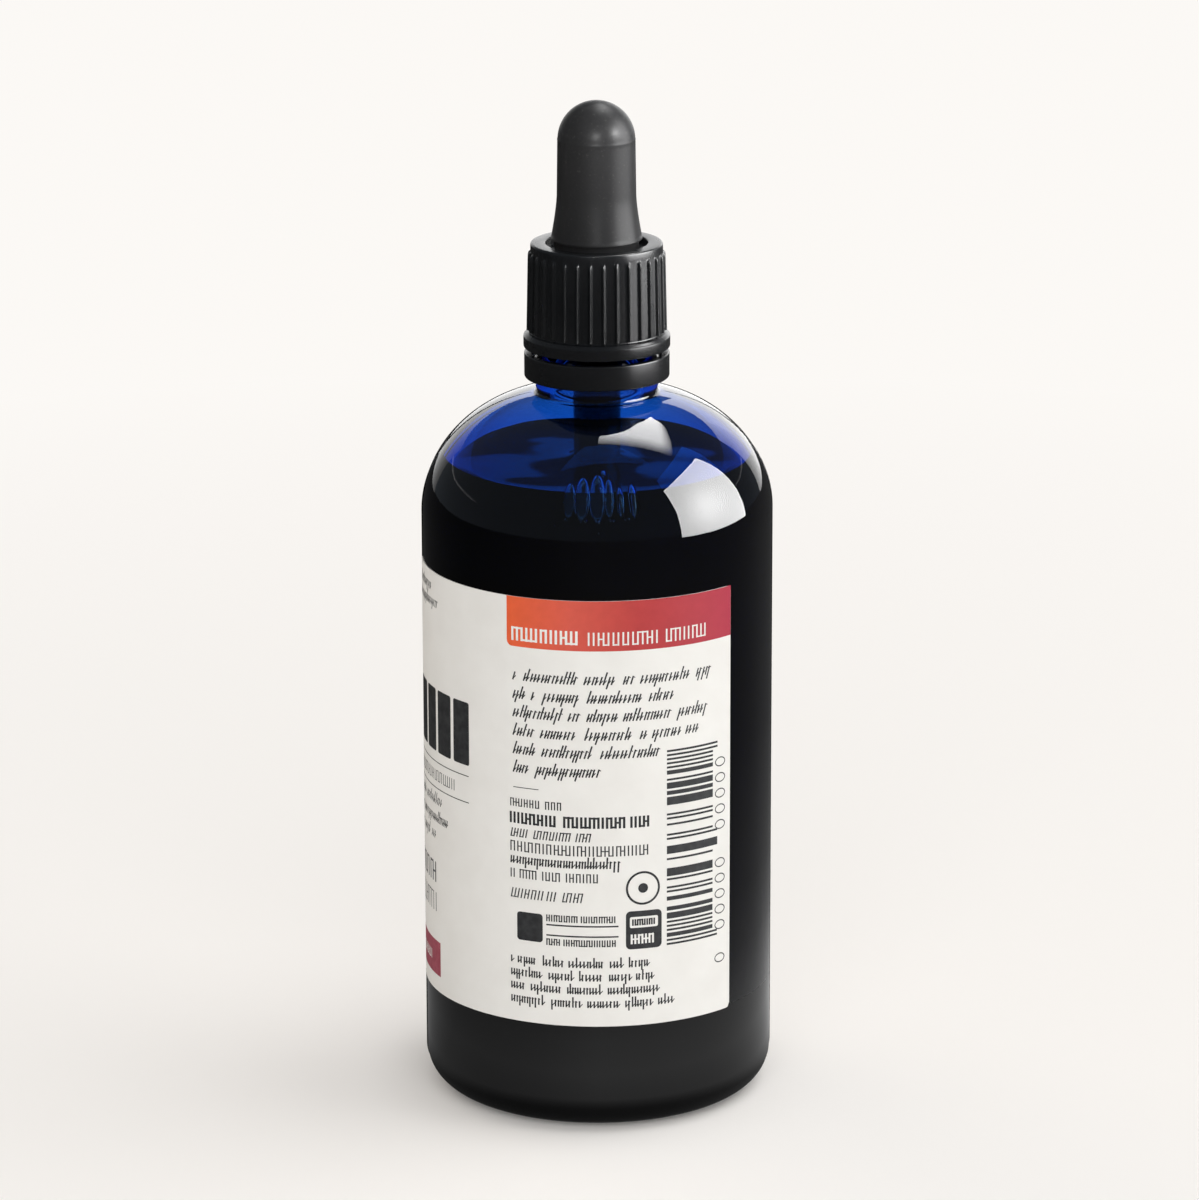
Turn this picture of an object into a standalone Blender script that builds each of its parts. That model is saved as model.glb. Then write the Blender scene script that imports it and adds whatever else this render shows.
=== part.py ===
"""Bitters bottle: a round cobalt glass bottle with its liquid, its label and a screw-on glass dropper.

The frame is in metres, +Z up, with the origin at the middle of the foot, on the surface it stands on.
The label's printed back panel faces -Y. The dropper lifts along +Z and its cap turns about +Z.
A point of a turned shape is (radius, height).
"""
import bmesh
import bpy
import math
from mathutils import Matrix

OBJECT_NAME = "bitters_bottle"

# Clearance between pieces that touch on the real object
FIT_GAP = 0.0003

# Glass bottle, body
BODY_RADIUS = 0.0260
WALL = 0.0029
SHOULDER_BASE_HEIGHT = 0.0893
SHOULDER_RISE = 0.0182
SHOULDER_CENTRE_RADIUS = 0.0056
HEEL_RADIUS = 0.0055
FOOT_RING_WIDTH = 0.0022
PUNT_DEPTH = 0.0020
FLOOR_THICKNESS = 0.0040
INNER_HEEL_RADIUS = 0.0065

# Glass bottle, neck and mouth
MOUTH_RADIUS = 0.00575
MOUTH_FILLET = 0.0015
RIM_ROUNDING = 0.0005
NECK_WALL = 0.00205
LOWER_NECK_STEP = 0.00125
LOWER_NECK_FILLET = 0.0011
BEAD_STEP = 0.0005
BEAD_HEIGHT = 0.0014
BEAD_RAMP = 0.0011
BEAD_ROUNDING = 0.0003

# Screw thread on the neck and in the cap
THREAD_PITCH = 0.0030
NECK_THREAD_WIRE_RADIUS = 0.0008
NECK_THREAD_TOP_SETBACK = 0.0024
NECK_THREAD_TURNS = 1.75
CAP_THREAD_CLEARANCE = 0.0004
CAP_THREAD_TURNS = 1.5
CAP_THREAD_START_TURNS = 0.25
THREAD_RUN_IN_SHARE = 0.12
THREAD_END_SHARE = 0.25

# Screw cap
CAP_SKIRT_DEPTH = 0.0106
CAP_HEADROOM = 0.0022
CAP_WALL = 0.0010
CAP_DRAFT = 0.0002
CAP_TOP_WALL = 0.0013
CAP_TOP_ROUNDING = 0.0005
CAP_RECESS_DEPTH = 0.0008
CAP_RECESS_CLEARANCE = 0.00136
CAP_MOUTH_CHAMFER = 0.0004
COLLAR_STEP = 0.0009
COLLAR_HEIGHT = 0.0017
COLLAR_CHAMFER = 0.00045
COLLAR_CHAMFER_HEIGHT = 0.0006
COLLAR_ROUNDING = 0.0002

# Grip ribs on the cap
RIB_COUNT = 32
RIB_HEIGHT = 0.00041
RIB_ROOT_DEPTH = 0.0004
RIB_ROOT_WIDTH = 0.0007
RIB_CREST_WIDTH = 0.0003
RIB_TOP_SETBACK = 0.0012
RIB_TOP_SLOPE = 0.0005

# Tamper band that stays on the neck
BAND_STANDOFF = 0.00255
BAND_HEIGHT = 0.0037
BAND_SLIT = 0.00065
BAND_INSET = 0.0001
BAND_LIP_HEIGHT = 0.0009
BAND_LIP_LEAD = 0.0004
BAND_TOP_ROUNDING = 0.0003
BAND_BASE_ROUNDING = 0.0004
BRIDGE_COUNT = 8
BRIDGE_WIDTH = 0.0007
BRIDGE_DEPTH = 0.00045
BRIDGE_HEIGHT = 0.00032
BRIDGE_ROOT = 0.0005

# Rubber bulb
DOME_RADIUS = 0.00572
BULB_GRIP_LENGTH = 0.0083
BULB_WALL = 0.0010
BULB_DRAFT = 0.00012
FLARE_HEIGHT = 0.0066
FLARE_SPREAD = 0.00092
FLARE_POWER = 1.4
SKIRT_ROUNDING = 0.0003
SKIRT_LEDGE = 0.00056
BULB_FOOT_HEIGHT = 0.0014
BULB_NECK_WALL = 0.0012
BULB_STEP_HEIGHT = 0.0006
FLANGE_ROUNDING = 0.0003

# Glass pipette
PIPETTE_RADIUS = 0.0035
PIPETTE_WALL = 0.0010
PIPETTE_TIP_CLEARANCE = 0.0050
PIPETTE_TIP_RADIUS = 0.0016
PIPETTE_TIP_WALL = 0.0009
PIPETTE_TIP_LENGTH = 0.0020
PIPETTE_TAPER_LENGTH = 0.0110
PIPETTE_HEAD_CLEARANCE = 0.0004
PIPETTE_HEAD_HEIGHT = 0.0008
PIPETTE_MOUTH_CHAMFER = 0.0004

# Liquid
LIQUID_RISE = 0.0077
PIPETTE_LIQUID_SETBACK = 0.0130

# Label, with its angles counted from +X about +Z
LABEL_BASE_SETBACK = 0.0114
LABEL_TOP_SETBACK = 0.0071
LABEL_THICKNESS = 0.0001
LABEL_GLUE_GAP = 0.0001
LABEL_START_DEG = 32.3
LABEL_SPAN_DEG = 286.0

# Facets
BODY_STEPS = 48
LABEL_STEPS = 38
CLOSURE_STEPS = 32
PIPETTE_STEPS = 20
THREAD_POINTS_PER_TURN = 20
THREAD_WIRE_RESOLUTION = 1
SHOULDER_ARC_STEPS = 9
INNER_SHOULDER_ARC_STEPS = 6
FILLET_ARC_STEPS = 3
HEEL_ARC_STEPS = 5
PUNT_ARC_STEPS = 4
DOME_ARC_STEPS = 6
FLARE_STEPS = 5
EDGE_ARC_STEPS = 2
SHARP_ANGLE_DEG = 35.0
MERGE_DISTANCE = 0.00001
BISECTION_ROUNDS = 50

# Radii that follow from the sizes above, from the bottle's axis
NECK_RADIUS = MOUTH_RADIUS + NECK_WALL
LOWER_NECK_RADIUS = NECK_RADIUS + LOWER_NECK_STEP
BEAD_RADIUS = LOWER_NECK_RADIUS + BEAD_STEP
CAP_BORE_RADIUS = NECK_RADIUS + NECK_THREAD_WIRE_RADIUS + FIT_GAP
CAP_THREAD_WIRE_RADIUS = CAP_BORE_RADIUS - NECK_RADIUS - CAP_THREAD_CLEARANCE
CAP_BARREL_BASE_RADIUS = CAP_BORE_RADIUS + CAP_WALL
CAP_TOP_RADIUS = CAP_BARREL_BASE_RADIUS - CAP_DRAFT
COLLAR_RADIUS = CAP_BARREL_BASE_RADIUS + COLLAR_STEP
BAND_RADIUS = COLLAR_RADIUS - BAND_INSET
BAND_BORE_RADIUS = BEAD_RADIUS + FIT_GAP
BAND_LIP_RADIUS = LOWER_NECK_RADIUS + FIT_GAP
PIPETTE_BORE_RADIUS = PIPETTE_RADIUS - PIPETTE_WALL
PIPETTE_TIP_BORE_RADIUS = PIPETTE_TIP_RADIUS - PIPETTE_TIP_WALL
BULB_CHAMBER_RADIUS = DOME_RADIUS - BULB_WALL
BULB_BORE_RADIUS = PIPETTE_RADIUS + FIT_GAP
PIPETTE_HEAD_RADIUS = BULB_CHAMBER_RADIUS - PIPETTE_HEAD_CLEARANCE
FLARE_TOP_RADIUS = DOME_RADIUS + BULB_DRAFT
SKIRT_RADIUS = FLARE_TOP_RADIUS + FLARE_SPREAD
BULB_FOOT_RADIUS = SKIRT_RADIUS - SKIRT_LEDGE
BULB_NECK_RADIUS = BULB_BORE_RADIUS + BULB_NECK_WALL
FLANGE_RADIUS = CAP_BORE_RADIUS - FIT_GAP
CAP_HOLE_RADIUS = BULB_NECK_RADIUS + FIT_GAP
CAP_RECESS_RADIUS = BULB_FOOT_RADIUS + CAP_RECESS_CLEARANCE

# Heights that follow from the sizes above, from the foot up
INNER_FLOOR_HEIGHT = PUNT_DEPTH + FLOOR_THICKNESS
PIPETTE_TIP_HEIGHT = INNER_FLOOR_HEIGHT + PIPETTE_TIP_CLEARANCE
PIPETTE_TAPER_BASE_HEIGHT = PIPETTE_TIP_HEIGHT + PIPETTE_TIP_LENGTH
PIPETTE_TAPER_TOP_HEIGHT = PIPETTE_TAPER_BASE_HEIGHT + PIPETTE_TAPER_LENGTH
LABEL_BASE_HEIGHT = HEEL_RADIUS + LABEL_BASE_SETBACK
LABEL_TOP_HEIGHT = SHOULDER_BASE_HEIGHT - LABEL_TOP_SETBACK
LIQUID_HEIGHT = SHOULDER_BASE_HEIGHT + LIQUID_RISE
BAND_BASE_HEIGHT = SHOULDER_BASE_HEIGHT + SHOULDER_RISE + BAND_STANDOFF
LIP_TOP_HEIGHT = BAND_BASE_HEIGHT + BAND_LIP_HEIGHT
BEAD_BASE_HEIGHT = LIP_TOP_HEIGHT + FIT_GAP
BEAD_TOP_HEIGHT = BEAD_BASE_HEIGHT + BEAD_HEIGHT
BAND_TOP_HEIGHT = BAND_BASE_HEIGHT + BAND_HEIGHT
CAP_EDGE_HEIGHT = BAND_TOP_HEIGHT + BAND_SLIT
COLLAR_TOP_HEIGHT = CAP_EDGE_HEIGHT + COLLAR_HEIGHT
COLLAR_SHELF_HEIGHT = COLLAR_TOP_HEIGHT + COLLAR_CHAMFER_HEIGHT
RIM_HEIGHT = CAP_EDGE_HEIGHT + CAP_SKIRT_DEPTH
NECK_THREAD_BASE_HEIGHT = RIM_HEIGHT - NECK_THREAD_TOP_SETBACK - THREAD_PITCH * NECK_THREAD_TURNS
PIPETTE_LIQUID_HEIGHT = RIM_HEIGHT - PIPETTE_LIQUID_SETBACK
CAP_UNDERSIDE_HEIGHT = RIM_HEIGHT + CAP_HEADROOM
CAP_RECESS_HEIGHT = CAP_UNDERSIDE_HEIGHT + CAP_TOP_WALL
CAP_TOP_HEIGHT = CAP_RECESS_HEIGHT + CAP_RECESS_DEPTH
RIB_TOP_HEIGHT = CAP_TOP_HEIGHT - RIB_TOP_SETBACK
FLANGE_BASE_HEIGHT = RIM_HEIGHT + FIT_GAP
FLANGE_TOP_HEIGHT = CAP_UNDERSIDE_HEIGHT - FIT_GAP
BULB_FOOT_BASE_HEIGHT = CAP_RECESS_HEIGHT + FIT_GAP
SKIRT_BASE_HEIGHT = BULB_FOOT_BASE_HEIGHT + BULB_FOOT_HEIGHT
BULB_STEP_BASE_HEIGHT = SKIRT_BASE_HEIGHT - BULB_STEP_HEIGHT
PIPETTE_HEAD_BASE_HEIGHT = BULB_STEP_BASE_HEIGHT + FIT_GAP
FLARE_TOP_HEIGHT = SKIRT_BASE_HEIGHT + FLARE_HEIGHT
DOME_CENTRE_HEIGHT = FLARE_TOP_HEIGHT + BULB_GRIP_LENGTH


# Points of the turned shapes


def arc(centre, radii, start_deg, end_deg, steps):
    """Points on an ellipse's arc, both ends included."""
    points = []
    for step in range(steps + 1):
        angle = math.radians(start_deg + (end_deg - start_deg) * step / steps)
        points.append((centre[0] + radii[0] * math.cos(angle), centre[1] + radii[1] * math.sin(angle)))
    return points


def edge(centre, rounding, start_deg, end_deg):
    """A small rounded edge."""
    return arc(centre, (rounding, rounding), start_deg, end_deg, EDGE_ARC_STEPS)


def shoulder(inset, neck_radius, fillet, steps):
    """The shoulder drawn in by an inset, from the body up to the neck, with the fillet between them."""
    reach = BODY_RADIUS - SHOULDER_CENTRE_RADIUS - inset
    rise = SHOULDER_RISE - inset

    def fillet_at(angle):
        slope = math.atan2(math.sin(angle) / rise, math.cos(angle) / reach)
        radius = SHOULDER_CENTRE_RADIUS + reach * math.cos(angle) + fillet * math.cos(slope)
        height = SHOULDER_BASE_HEIGHT + rise * math.sin(angle) + fillet * math.sin(slope)
        return radius, height, slope

    low, high = 0.0, math.pi / 2
    for _ in range(BISECTION_ROUNDS):
        middle = (low + high) / 2
        if fillet_at(middle)[0] > neck_radius + fillet:
            low = middle
        else:
            high = middle
    fillet_radius, fillet_height, slope = fillet_at(low)
    centre = (SHOULDER_CENTRE_RADIUS, SHOULDER_BASE_HEIGHT)
    points = arc(centre, (reach, rise), 0, math.degrees(low), steps)
    turn_start_deg = math.degrees(slope) + 180
    turn = arc((fillet_radius, fillet_height), (fillet, fillet), turn_start_deg, 180, FILLET_ARC_STEPS)
    return points + turn[1:]


def cavity_wall(inset):
    """The cavity drawn in by an inset, from the middle of its floor up to the body's straight wall."""
    wall_radius = BODY_RADIUS - WALL - inset
    corner = (wall_radius - INNER_HEEL_RADIUS, INNER_FLOOR_HEIGHT + inset + INNER_HEEL_RADIUS)
    heel = arc(corner, (INNER_HEEL_RADIUS, INNER_HEEL_RADIUS), -90, 0, HEEL_ARC_STEPS)
    return [(0.0, INNER_FLOOR_HEIGHT + inset)] + heel


def bottle_points():
    """From the cavity's floor up the inside, over the rim and down the outside to the punt."""
    rim_rounding_height = RIM_HEIGHT - RIM_ROUNDING
    bead_edge_radius = BEAD_RADIUS - BEAD_ROUNDING
    foot_radius = BODY_RADIUS - HEEL_RADIUS
    points = cavity_wall(0.0)
    points += shoulder(WALL, MOUTH_RADIUS, MOUTH_FILLET, INNER_SHOULDER_ARC_STEPS)
    points += edge((MOUTH_RADIUS + RIM_ROUNDING, rim_rounding_height), RIM_ROUNDING, 180, 90)
    points += edge((NECK_RADIUS - RIM_ROUNDING, rim_rounding_height), RIM_ROUNDING, 90, 0)
    points.append((NECK_RADIUS, BEAD_TOP_HEIGHT + BEAD_RAMP))
    points += edge((bead_edge_radius, BEAD_TOP_HEIGHT - BEAD_ROUNDING), BEAD_ROUNDING, 60, 0)
    points += edge((bead_edge_radius, BEAD_BASE_HEIGHT + BEAD_ROUNDING), BEAD_ROUNDING, 0, -90)
    points.append((LOWER_NECK_RADIUS, BEAD_BASE_HEIGHT))
    points += reversed(shoulder(0.0, LOWER_NECK_RADIUS, LOWER_NECK_FILLET, SHOULDER_ARC_STEPS))
    points += arc((foot_radius, HEEL_RADIUS), (HEEL_RADIUS, HEEL_RADIUS), 0, -90, HEEL_ARC_STEPS)
    points += arc((0.0, 0.0), (foot_radius - FOOT_RING_WIDTH, PUNT_DEPTH), 0, 90, PUNT_ARC_STEPS)
    return points


def liquid_points():
    """From the hollow that the pipette leaves, over the surface and down the cavity's wall."""
    hollow_radius = PIPETTE_RADIUS + FIT_GAP
    hollow_height = PIPETTE_TIP_HEIGHT - FIT_GAP
    reach = BODY_RADIUS - SHOULDER_CENTRE_RADIUS - WALL - FIT_GAP
    rise = SHOULDER_RISE - WALL - FIT_GAP
    surface_deg = math.degrees(math.asin(LIQUID_RISE / rise))
    centre = (SHOULDER_CENTRE_RADIUS, SHOULDER_BASE_HEIGHT)
    points = [(0.0, hollow_height), (hollow_radius, hollow_height), (hollow_radius, LIQUID_HEIGHT)]
    points += arc(centre, (reach, rise), surface_deg, 0, FILLET_ARC_STEPS)
    points += reversed(cavity_wall(FIT_GAP))
    return points


def cap_points():
    """From the hole for the bulb over the top, down the barrel and collar and up the bore."""
    shelf_radius = COLLAR_RADIUS - COLLAR_CHAMFER
    top_edge = (CAP_TOP_RADIUS - CAP_TOP_ROUNDING, CAP_TOP_HEIGHT - CAP_TOP_ROUNDING)
    base_edge = (COLLAR_RADIUS - COLLAR_ROUNDING, CAP_EDGE_HEIGHT + COLLAR_ROUNDING)
    points = [(CAP_HOLE_RADIUS, CAP_RECESS_HEIGHT), (CAP_RECESS_RADIUS, CAP_RECESS_HEIGHT)]
    points.append((CAP_RECESS_RADIUS, CAP_TOP_HEIGHT))
    points += edge(top_edge, CAP_TOP_ROUNDING, 90, 0)
    points.append((CAP_BARREL_BASE_RADIUS, COLLAR_SHELF_HEIGHT))
    points.append((shelf_radius, COLLAR_SHELF_HEIGHT))
    points.append((COLLAR_RADIUS, COLLAR_TOP_HEIGHT))
    points += edge(base_edge, COLLAR_ROUNDING, 0, -90)
    points.append((CAP_BORE_RADIUS + CAP_MOUTH_CHAMFER, CAP_EDGE_HEIGHT))
    points.append((CAP_BORE_RADIUS, CAP_EDGE_HEIGHT + CAP_MOUTH_CHAMFER))
    points.append((CAP_BORE_RADIUS, CAP_UNDERSIDE_HEIGHT))
    points.append((CAP_HOLE_RADIUS, CAP_UNDERSIDE_HEIGHT))
    return points


def band_points():
    """From the top edge down the outside, under the lip and up the bore."""
    top_edge = (BAND_RADIUS - BAND_TOP_ROUNDING, BAND_TOP_HEIGHT - BAND_TOP_ROUNDING)
    base_edge = (BAND_RADIUS - BAND_BASE_ROUNDING, BAND_BASE_HEIGHT + BAND_BASE_ROUNDING)
    points = [(BAND_BORE_RADIUS, BAND_TOP_HEIGHT)]
    points += edge(top_edge, BAND_TOP_ROUNDING, 90, 0)
    points += edge(base_edge, BAND_BASE_ROUNDING, 0, -90)
    points.append((BAND_LIP_RADIUS + BAND_LIP_LEAD, BAND_BASE_HEIGHT))
    points.append((BAND_LIP_RADIUS, BAND_BASE_HEIGHT + BAND_LIP_LEAD))
    points.append((BAND_LIP_RADIUS, LIP_TOP_HEIGHT))
    points.append((BAND_BORE_RADIUS, LIP_TOP_HEIGHT))
    return points


def bulb_points():
    """From the dome's top down the outside, round the groove and flange and up the inside."""
    skirt_edge = (SKIRT_RADIUS - SKIRT_ROUNDING, SKIRT_BASE_HEIGHT + SKIRT_ROUNDING)
    flange_edge = FLANGE_RADIUS - FLANGE_ROUNDING
    points = arc((0.0, DOME_CENTRE_HEIGHT), (DOME_RADIUS, DOME_RADIUS), 90, 0, DOME_ARC_STEPS)
    for step in range(FLARE_STEPS):
        down_share = step / FLARE_STEPS
        radius = FLARE_TOP_RADIUS + (SKIRT_RADIUS - FLARE_TOP_RADIUS) * down_share**FLARE_POWER
        points.append((radius, FLARE_TOP_HEIGHT - FLARE_HEIGHT * down_share))
    points += edge(skirt_edge, SKIRT_ROUNDING, 0, -90)
    points.append((BULB_FOOT_RADIUS, SKIRT_BASE_HEIGHT))
    points.append((BULB_FOOT_RADIUS, BULB_FOOT_BASE_HEIGHT))
    points.append((BULB_NECK_RADIUS, BULB_FOOT_BASE_HEIGHT))
    points.append((BULB_NECK_RADIUS, FLANGE_TOP_HEIGHT))
    points += edge((flange_edge, FLANGE_TOP_HEIGHT - FLANGE_ROUNDING), FLANGE_ROUNDING, 90, 0)
    points += edge((flange_edge, FLANGE_BASE_HEIGHT + FLANGE_ROUNDING), FLANGE_ROUNDING, 0, -90)
    points.append((BULB_BORE_RADIUS, FLANGE_BASE_HEIGHT))
    points.append((BULB_BORE_RADIUS, BULB_STEP_BASE_HEIGHT))
    points.append((BULB_CHAMBER_RADIUS, SKIRT_BASE_HEIGHT))
    chamber = (BULB_CHAMBER_RADIUS, BULB_CHAMBER_RADIUS)
    points += arc((0.0, DOME_CENTRE_HEIGHT), chamber, 0, 90, DOME_ARC_STEPS)
    return points


def pipette_points():
    """From the head's rim down the outside to the tip and up the bore."""
    head_slope = BULB_STEP_HEIGHT / (BULB_CHAMBER_RADIUS - BULB_BORE_RADIUS)
    head_edge_height = PIPETTE_HEAD_BASE_HEIGHT + (PIPETTE_HEAD_RADIUS - PIPETTE_RADIUS) * head_slope
    head_top_height = head_edge_height + PIPETTE_HEAD_HEIGHT
    return [
        (PIPETTE_BORE_RADIUS + PIPETTE_MOUTH_CHAMFER, head_top_height),
        (PIPETTE_HEAD_RADIUS - PIPETTE_MOUTH_CHAMFER, head_top_height),
        (PIPETTE_HEAD_RADIUS, head_top_height - PIPETTE_MOUTH_CHAMFER),
        (PIPETTE_HEAD_RADIUS, head_edge_height),
        (PIPETTE_RADIUS, PIPETTE_HEAD_BASE_HEIGHT),
        (PIPETTE_RADIUS, PIPETTE_TAPER_TOP_HEIGHT),
        (PIPETTE_TIP_RADIUS, PIPETTE_TAPER_BASE_HEIGHT),
        (PIPETTE_TIP_RADIUS, PIPETTE_TIP_HEIGHT),
        (PIPETTE_TIP_BORE_RADIUS, PIPETTE_TIP_HEIGHT),
        (PIPETTE_TIP_BORE_RADIUS, PIPETTE_TAPER_BASE_HEIGHT),
        (PIPETTE_BORE_RADIUS, PIPETTE_TAPER_TOP_HEIGHT),
        (PIPETTE_BORE_RADIUS, head_top_height - PIPETTE_MOUTH_CHAMFER),
    ]


def pipette_liquid_points():
    """From the middle of its surface down the pipette's bore to the tip."""
    column_radius = PIPETTE_BORE_RADIUS - FIT_GAP
    thread_radius = PIPETTE_TIP_BORE_RADIUS - FIT_GAP
    return [
        (0.0, PIPETTE_LIQUID_HEIGHT),
        (column_radius, PIPETTE_LIQUID_HEIGHT),
        (column_radius, PIPETTE_TAPER_TOP_HEIGHT),
        (thread_radius, PIPETTE_TAPER_BASE_HEIGHT),
        (thread_radius, PIPETTE_TIP_HEIGHT),
        (0.0, PIPETTE_TIP_HEIGHT),
    ]


# Materials and objects


def material(name, colour, roughness, transmission=0.0):
    """A Principled material."""
    made = bpy.data.materials.new(name)
    made.use_nodes = True
    shader = made.node_tree.nodes["Principled BSDF"]
    shader.inputs["Base Color"].default_value = (*colour, 1.0)
    shader.inputs["Roughness"].default_value = roughness
    shader.inputs["Metallic"].default_value = 0.0
    shader.inputs["Transmission Weight"].default_value = transmission
    made.diffuse_color = (*colour, 1.0)
    return made


def collection(name):
    """A new collection in the scene."""
    made = bpy.data.collections.new(name)
    bpy.context.scene.collection.children.link(made)
    return made


def mesh_object(name, mesh, holder):
    """An object that holds the mesh, with its origin on the bottle's axis."""
    made = bpy.data.objects.new(name, mesh)
    holder.objects.link(made)
    return made


def axis_empty(name, parent, holder):
    """An empty on the bottle's axis that carries what moves together."""
    made = bpy.data.objects.new(name, None)
    made.parent = parent
    holder.objects.link(made)
    return made


def evaluated_mesh(source):
    """The mesh that the object's modifiers or curve settings make."""
    graph = bpy.context.evaluated_depsgraph_get()
    return bpy.data.meshes.new_from_object(source.evaluated_get(graph))


def bake(target):
    """The object's mesh becomes what its modifiers make of it, smooth but for its hard edges."""
    mesh = evaluated_mesh(target)
    target.modifiers.clear()
    target.data = mesh
    mesh.shade_smooth()
    mesh.set_sharp_from_angle(angle=math.radians(SHARP_ANGLE_DEG))


def line_mesh(name, points, start_deg, closed):
    """A line of edges through the points, in the upright plane at an angle from +X."""
    across = math.cos(math.radians(start_deg))
    along = math.sin(math.radians(start_deg))
    edges = [(index, index + 1) for index in range(len(points) - 1)]
    if closed:
        edges.append((len(points) - 1, 0))
    mesh = bpy.data.meshes.new(name)
    mesh.from_pydata([(radius * across, radius * along, height) for radius, height in points], edges, [])
    return mesh


def add_screw(target, steps, turn_deg):
    """A Screw modifier that turns the profile about the bottle's axis."""
    screw = target.modifiers.new("turn", "SCREW")
    screw.axis = "Z"
    screw.angle = math.radians(turn_deg)
    screw.steps = steps
    screw.render_steps = steps
    screw.use_merge_vertices = turn_deg == 360
    screw.merge_threshold = MERGE_DISTANCE


def turned(name, points, steps, finish, holder):
    """A solid of revolution. A profile that starts off the axis is a closed ring."""
    made = mesh_object(name, line_mesh(name, points, 0, closed=points[0][0] > 0), holder)
    made.data.materials.append(finish)
    add_screw(made, steps, 360)
    bake(made)
    return made


def hide_tool(tool):
    """A shape that is only joined to another stays out of the picture."""
    tool.hide_render = True
    tool.display_type = "WIRE"


def join_on(target, tool):
    """The tool's shape is fused with the target."""
    union = target.modifiers.new("join", "BOOLEAN")
    union.operation = "UNION"
    union.solver = "EXACT"
    union.object = tool
    bake(target)


def screw_thread(name, centre_radius, wire_radius, start_height, start_turns, turns, holder):
    """A right-handed thread: a round wire on a helix that thins towards both ends."""
    last = round(turns * THREAD_POINTS_PER_TURN)
    curve = bpy.data.curves.new(name, "CURVE")
    curve.dimensions = "3D"
    curve.twist_mode = "Z_UP"
    curve.bevel_depth = wire_radius
    curve.bevel_resolution = THREAD_WIRE_RESOLUTION
    curve.use_fill_caps = True
    spline = curve.splines.new("POLY")
    spline.points.add(last)
    for index, point in enumerate(spline.points):
        along = index / last
        angle = math.tau * (start_turns + turns * along)
        height = start_height + THREAD_PITCH * turns * along
        point.co = (centre_radius * math.cos(angle), centre_radius * math.sin(angle), height, 1)
        thinning_share = min(1.0, min(along, 1 - along) / THREAD_RUN_IN_SHARE)
        point.radius = THREAD_END_SHARE + (1 - THREAD_END_SHARE) * thinning_share
    wire = mesh_object(name + "_wire", curve, holder)
    mesh = evaluated_mesh(wire)
    cage = bmesh.new()
    cage.from_mesh(mesh)
    bmesh.ops.remove_doubles(cage, verts=cage.verts, dist=MERGE_DISTANCE)
    bmesh.ops.recalc_face_normals(cage, faces=cage.faces)
    cage.to_mesh(mesh)
    cage.free()
    thread = mesh_object(name, mesh, holder)
    thread.matrix_world = wire.matrix_world
    bpy.data.objects.remove(wire)
    hide_tool(thread)
    return thread


def ring_of(name, count, shape_one, holder):
    """Copies of one small solid spaced evenly round the bottle's axis, the first at half a space from -Y."""
    cage = bmesh.new()
    for index in range(count):
        verts = bmesh.ops.create_cube(cage, size=1)["verts"]
        for vert in verts:
            vert.co = shape_one(vert.co)
        turn = Matrix.Rotation(math.tau * (index + 0.5) / count - math.pi / 2, 4, "Z")
        bmesh.ops.transform(cage, matrix=turn, verts=verts)
    mesh = bpy.data.meshes.new(name)
    cage.to_mesh(mesh)
    cage.free()
    made = mesh_object(name, mesh, holder)
    hide_tool(made)
    return made


def rib_corner(corner):
    """Where a corner of a unit cube goes on a grip rib at +X."""
    outer = corner.x > 0
    upper = corner.z > 0
    barrel_radius = CAP_TOP_RADIUS if upper else CAP_BARREL_BASE_RADIUS
    radius = barrel_radius + (RIB_HEIGHT if outer else -RIB_ROOT_DEPTH)
    width = RIB_CREST_WIDTH if outer else RIB_ROOT_WIDTH
    height = RIB_TOP_HEIGHT if upper else COLLAR_SHELF_HEIGHT - RIB_ROOT_DEPTH
    if outer and upper:
        height -= RIB_TOP_SLOPE
    return radius, corner.y * width, height


def bridge_corner(corner):
    """Where a corner of a unit cube goes on the torn stub of a bridge at +X."""
    middle_radius = (BAND_BORE_RADIUS + BAND_RADIUS) / 2
    top_height = BAND_TOP_HEIGHT + BRIDGE_HEIGHT
    height = top_height if corner.z > 0 else BAND_TOP_HEIGHT - BRIDGE_ROOT
    return middle_radius + corner.x * BRIDGE_DEPTH, corner.y * BRIDGE_WIDTH, height


# Pieces


def make_bottle(parts, tools):
    """The glass bottle with the thread on its neck."""
    glass = material("cobalt_glass", (0.006, 0.045, 0.42), 0.03, 0.9)
    bottle = turned("bottle", bottle_points(), BODY_STEPS, glass, parts)
    thread = screw_thread(
        "neck_thread",
        NECK_RADIUS,
        NECK_THREAD_WIRE_RADIUS,
        NECK_THREAD_BASE_HEIGHT,
        0,
        NECK_THREAD_TURNS,
        tools,
    )
    join_on(bottle, thread)


def make_liquid(parts):
    """The bitters in the bottle."""
    bitters = material("bitters", (0.05, 0.008, 0.006), 0.05, 0.6)
    turned("bitters_fill", liquid_points(), BODY_STEPS, bitters, parts)


def make_label(parts):
    """The paper label: a thin curved sheet that leaves a bare strip of glass."""
    paper = material("label_paper", (0.86, 0.85, 0.82), 0.6)
    radius = BODY_RADIUS + LABEL_GLUE_GAP
    points = [(radius, LABEL_TOP_HEIGHT), (radius, LABEL_BASE_HEIGHT)]
    label = mesh_object("label", line_mesh("label", points, LABEL_START_DEG, closed=False), parts)
    label.data.materials.append(paper)
    add_screw(label, LABEL_STEPS, LABEL_SPAN_DEG)
    sheet = label.modifiers.new("sheet", "SOLIDIFY")
    sheet.thickness = LABEL_THICKNESS
    sheet.offset = 1
    bake(label)


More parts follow.
